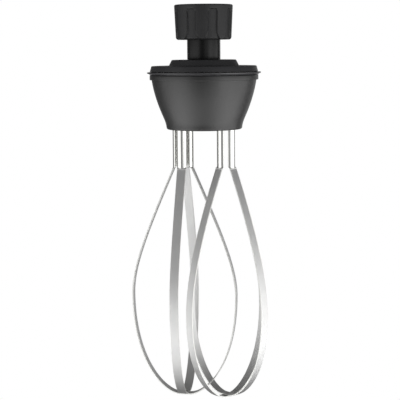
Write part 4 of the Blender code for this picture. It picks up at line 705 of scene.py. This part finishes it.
# The strip carried along its path. Where curl is above 0 its section is wrapped on a circle whose chord and
# sagitta grow to the leg's: a point at distance a along the section goes to angle a / R about its centre.
# leastSagitta keeps the radius of the flat stretch finite.
def stripGrid(whisk, drop, direction):
    place, heading, curl = loopPath(whisk, drop)
    section = stripSection()
    chord = strip["width"] + (strip["legChord"] - strip["width"]) * curl
    sagitta = np.maximum(strip["legSagitta"] * curl, strip["leastSagitta"])
    radius = (chord ** 2 / 4 + sagitta ** 2) / (2 * sagitta)
    wrap = 2 * radius * np.arcsin(np.clip(chord / 2 / radius, 0, 1)) / strip["width"]
    centre = radius - strip["thickness"] / 2
    angle = section[None, :, 0] * wrap[:, None] / radius[:, None]
    across = (centre[:, None] + section[None, :, 1]) * np.sin(angle)
    out = (centre[:, None] + section[None, :, 1]) * np.cos(angle) - centre[:, None]
    outward = np.array([math.cos(direction), math.sin(direction), 0.0])
    sideways = np.array([-math.sin(direction), math.cos(direction), 0.0])
    up = np.array([0.0, 0.0, 1.0])
    normal = -heading[:, 1:2] * outward + heading[:, 0:1] * up
    middle = np.array([whisk["x"], 0.0, 0.0]) + place[:, 0:1] * outward + place[:, 1:2] * up
    points = middle[:, None, :] + across[..., None] * sideways + out[..., None] * normal[:, None, :]
    ends = [np.broadcast_to(points[index].mean(axis=0), points[:1].shape) for index in (0, -1)]
    points = np.concatenate([ends[0], points, ends[1]])
    length = np.concatenate([[0, 0], np.cumsum(np.linalg.norm(np.diff(place, axis=0), axis=1))])
    girth = np.append(section[:, 0], section[0, 0])
    uv = np.stack(np.broadcast_arrays(np.append(length, length[-1])[:, None], girth[None, :]), axis=-1)
    return points, uv


hub = {
    "radius": 11.0 * mm, "bore": 4.9 * mm, "foot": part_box("left_hub")[0].z, "top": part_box("left_hub")[1].z,
    "pocketTop": -108.1 * mm, "gap": 0.3 * mm, "edge": 0.2 * mm, "footEdge": 0.5 * mm, "spare": 1.0 * mm,
    "facets": 128, "pocketPoints": 13,
}


# The hub: a turned disc with four pockets, each the leg's half-round section grown by the gap
def hubMesh(whisk, direction):
    h, s = hub, strip
    corners = [(h["bore"], h["foot"], h["edge"]), (h["radius"], h["foot"], h["footEdge"]),
               (h["radius"], h["top"], h["edge"]), (h["bore"], h["top"], 0)]
    mesh = turnedMesh("hub", corners, h["facets"], whisk["x"])
    chord, sagitta = s["legChord"] + 2 * h["gap"], s["legSagitta"] + h["gap"]
    radius = (chord ** 2 / 4 + sagitta ** 2) / (2 * sagitta)
    sweep = math.asin(chord / 2 / radius) * np.linspace(-1, 1, h["pocketPoints"])
    thick = s["thickness"] + 2 * h["gap"]
    crown = s["legRadius"] + thick / 2
    pocket = np.vstack([np.column_stack([crown - radius + size * np.cos(arc), size * np.sin(arc)])
                        for size, arc in ((radius, sweep), (radius - thick, sweep[::-1]))])
    steps = []
    for quarter in range(4):
        turn = direction + quarter * math.pi / 2
        spin = np.array([[math.cos(turn), math.sin(turn)], [-math.sin(turn), math.cos(turn)]])
        outline = pocket @ spin + [whisk["x"], 0]
        steps.append(("DIFFERENCE", prismMesh("pocket", outline, h["foot"] - h["spare"], h["pocketTop"])))
    return carve(mesh, steps)


for hand, whisk in whisks.items():
    body = hand + "_whisk"
    for level, extra, shorter in (("Outer", 0, 0), ("Inner", whisk["turn"] * math.pi / 2, strip["nest"])):
        points, uv = stripGrid(whisk, whisk["drop"] - shorter, whisk["angle"] + extra)
        mesh = cleanMesh(gridMesh(hand + level + "Loop", points, uv=uv), strip["sharpAngle"])
        addPiece(hand + level + "Loop", mesh, body, "strip_steel", [f"{hand}_{level.lower()}_loop"])
    addPiece(hand + "Hub", hubMesh(whisk, whisk["angle"]), body, "plated_steel", [hand + "_hub"])
print("whisks made")

coupling = {
    "radius": 8.4 * mm, "edge": 1.0 * mm, "flats": 9.0 * mm, "socketDepth": 8.5 * mm, "shaftBore": 4.3 * mm,
    "leadRadii": (4.3 * mm, 6.2 * mm), "leadHeights": (-1.2 * mm, 0.7 * mm), "spare": 1.0 * mm,
    "foot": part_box("drive_coupling")[0].z, "top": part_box("drive_coupling")[1].z, "facets": 128,
    "leadFacets": 96,
}


# The coupling: a turned drum with a hexagon socket, a lead-in cone over it and the shaft's bore below
def couplingMesh():
    c = coupling
    corners = [(0, c["foot"], 0), (c["radius"], c["foot"], c["edge"]), (c["radius"], c["top"], c["edge"]),
               (0, c["top"], 0)]
    mesh = turnedMesh("driveCoupling", corners, c["facets"], closed=False)
    angle = np.arange(6) * np.pi / 3
    hexagon = c["flats"] / math.sqrt(3) * np.column_stack([np.cos(angle), np.sin(angle)])
    socketFoot = c["top"] - c["socketDepth"]
    low, high = [c["top"] + height for height in c["leadHeights"]]
    lead = np.array([(0, low), (c["leadRadii"][0], low), (c["leadRadii"][1], high), (0, high)])
    cone = cleanMesh(gridMesh("cone", turnedGrid(lead, c["leadFacets"])))
    bore = rodMesh("bore", c["shaftBore"], c["foot"] - c["spare"], socketFoot + c["spare"] / 2)
    socket = prismMesh("hexagon", hexagon, socketFoot, c["top"] + c["spare"])
    return carve(mesh, [("DIFFERENCE", tool) for tool in (socket, cone, bore)])


screw = {
    "head": 3.6 * mm, "shank": 1.9 * mm, "headHeight": 2.4 * mm, "headEdge": 0.9 * mm, "edge": 0.2 * mm,
    "point": 0.6 * mm, "slot": 0.9 * mm, "slotReach": 2.3 * mm, "slotDepth": 1.5 * mm, "facets": 64,
}


# A pan-head screw pointing up, with a cross recess in its head
def screwMesh(node):
    low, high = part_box(node)
    y, neckTop = (low.y + high.y) / 2, low.z + screw["headHeight"]
    corners = [
        (0, low.z, 0), (screw["head"], low.z, screw["headEdge"]), (screw["head"], neckTop, screw["edge"]),
        (screw["shank"], neckTop, screw["edge"]), (screw["shank"], high.z, screw["point"]), (0, high.z, 0)]
    grid = turnedGrid(filletOutline(corners, closed=False), screw["facets"], 0.0, y)
    mesh = cleanMesh(gridMesh("screw", grid))
    bar = np.array([(-1, -1), (1, -1), (1, 1), (-1, 1)]) * [screw["slotReach"], screw["slot"] / 2]
    bars = [bar + [0, y], bar @ np.array([[0, 1], [-1, 0]]) + [0, y]]
    levels = (low.z - screw["point"], low.z + screw["slotDepth"])
    return carve(mesh, [("DIFFERENCE", prismMesh("slot", outline, *levels)) for outline in bars])


addPiece("driveCoupling", couplingMesh(), "input", "plated_steel", ["drive_coupling"])
for end in ("front", "back"):
    addPiece("housingScrew" + end.title(), screwMesh("housing_screw_" + end), "housing", "plated_steel",
             ["housing_screw_" + end])
print("coupling and screws made")

studio = {
    "floorDrop": 0.25, "floorRadius": 0.9, "floorFacets": 96, "floorColour": (0.86, 0.86, 0.85),
    "floorRoughness": 0.9, "floorSpecular": 0.1, "fade": (0.4, 0.8),
    "floorBehind": 0.15, "floorAhead": 1.25, "floorAside": 1.2, "aheadEdge": (0.02, 0.42),
    "asideEdge": (0.1, 0.5), "asideShare": 0.7, "plain": 0.8, "roomBehind": 0.13, "roomAhead": 0.22,
    "roomEdge": (-0.7, 0.2), "middle": math.radians(-10), "flankGlow": 0.65, "flankStart": (0.0, 0.6),
    "flankEnd": (0.93, 0.995), "flankTop": (0.15, 0.7), "backGlow": 0.6, "backEdge": (-0.93, -0.8),
    "backFoot": (-0.4, -0.25), "backTop": (0.1, 0.3), "leastLevel": 0.0001,
}


# A disc of pale paint keeps the object's shadow; towards its border camera rays find plain white, so that
# it runs into the white room without a horizon. Shiny parts see it bright ahead and aside, dim behind.
def addFloor():
    level = cadBounds[0][2] - studio["floorDrop"]
    outline = [(0, level, 0), (studio["floorRadius"], level, 0)]
    mesh = turnedMesh("floor", outline, studio["floorFacets"], closed=False)
    floor = bpy.data.objects.new("floor", mesh)
    bpy.context.scene.collection.objects.link(floor)
    paint = Paint("floorPaint", {
        "Base Color": (*studio["floorColour"], 1.0), "Roughness": studio["floorRoughness"],
        "Specular IOR Level": studio["floorSpecular"]})
    x, y = paint.split(paint.place())[:2]
    distance = paint.node("ShaderNodeMath", {"operation": "SQRT"}, {0: x * x + y * y})
    seen, mirrored = paint.lightPath()
    ahead = paint.ramp(abs(x) * studio["asideShare"] - y, *studio["aheadEdge"])
    aside = paint.ramp(abs(x), *studio["asideEdge"])
    bright = ahead * (aside * studio["floorAside"] + studio["floorAhead"]) + studio["floorBehind"]
    white = paint.node("ShaderNodeEmission", None, {"Strength": mirrored * bright + seen})
    factor = paint.ramp(distance, *studio["fade"]) * seen + mirrored
    plain = Signal(paint, paint.shader.outputs[0])
    mixed = paint.node("ShaderNodeMixShader", None, {0: factor, 1: plain, 2: white})
    paint.tree.links.new(mixed.socket, paint.tree.nodes["Material Output"].inputs["Surface"])
    mesh.materials.append(paint.material)


# The room: white to the camera, one plain level to matt surfaces. Shiny ones see it dim behind, brighter
# ahead, glowing on both flanks of the camera and at the backdrop's foot. ahead is the cosine of the angle
# from the middle between the flanks, and leastLevel keeps it finite overhead.
def addRoom():
    world = bpy.data.worlds.new("room")
    bpy.context.scene.world = world
    world.use_nodes = True
    room = NodeTree(world.node_tree)
    x, y, z = room.split(room.node("ShaderNodeTexCoord"))
    level = room.node("ShaderNodeMath", {"operation": "SQRT"}, {0: x * x + y * y + studio["leastLevel"]})
    ahead = (x * math.sin(studio["middle"]) - y * math.cos(studio["middle"])) / level
    rise = studio["roomAhead"] - studio["roomBehind"]
    dim = room.ramp(ahead, *studio["roomEdge"]) * rise + studio["roomBehind"]
    flanks = room.ramp(ahead, *studio["flankStart"]) * (1 - room.ramp(ahead, *studio["flankEnd"]))
    backdrop = (1 - room.ramp(ahead, *studio["backEdge"])) * room.ramp(z, *studio["backFoot"])
    flankLight = flanks * (1 - room.ramp(z, *studio["flankTop"])) * studio["flankGlow"]
    backLight = backdrop * (1 - room.ramp(z, *studio["backTop"])) * studio["backGlow"]
    seen, mirrored = room.lightPath()
    matt = (1 - seen - mirrored) * studio["plain"]
    strength = (flankLight + backLight + dim) * mirrored + seen + matt
    background = world.node_tree.nodes["Background"]
    room.tree.links.new(strength.socket, background.inputs["Strength"])
    background.inputs["Color"].default_value = (1, 1, 1, 1)


lamps = {
    "keyLeft": {"azimuth": -72, "top": -0.06, "away": 0.8, "size": (1.2, 0.54), "brightness": 0.9},
    "keyRight": {"azimuth": 72, "top": -0.03, "away": 0.8, "size": (1.3, 0.57), "brightness": 1.6},
}


# Two low upright softboxes at an angle from the camera's side, facing the axis; their power is brightness
# times pi times area
def addLamps():
    for name, lamp in lamps.items():
        light = bpy.data.lights.new(name, "AREA")
        light.shape = "RECTANGLE"
        light.size, light.size_y = lamp["size"]
        light.energy = lamp["brightness"] * math.pi * light.size * light.size_y
        holder = bpy.data.objects.new(name, light)
        bpy.context.scene.collection.objects.link(holder)
        angle = math.radians(lamp["azimuth"])
        holder.location = (math.sin(angle) * lamp["away"], -math.cos(angle) * lamp["away"],
                           lamp["top"] - light.size_y / 2)
        holder.rotation_euler = (math.pi / 2, 0, angle)


camera = {
    "distance": 1.155, "elevation": math.radians(7.05), "roll": math.radians(-0.5),
    "target": (-4.7 * mm, 0.0, -181.3 * mm), "sensor": 36.0, "pixelsOfFocus": 1230.0, "frame": 400.0,
}


# Back from the target by cos(elevation) times the distance, and up by sin(elevation) times it. The lens is
# the sensor's width times the focus over the frame, both in pixels.
def addCamera():
    c = camera
    data = bpy.data.cameras.new("camera")
    data.sensor_width = c["sensor"]
    data.lens = c["sensor"] * c["pixelsOfFocus"] / c["frame"]
    view = bpy.data.objects.new("camera", data)
    bpy.context.scene.collection.objects.link(view)
    back, rise = math.cos(c["elevation"]) * c["distance"], math.sin(c["elevation"]) * c["distance"]
    view.location = (c["target"][0], c["target"][1] - back, c["target"][2] + rise)
    view.rotation_euler = (math.pi / 2 - c["elevation"], 0, 0)
    view.rotation_euler.rotate_axis("Z", c["roll"])
    bpy.context.scene.camera = view


addFloor()
addRoom()
addLamps()
addCamera()
bpy.context.scene.view_settings.view_transform = "Standard"
print("studio made")
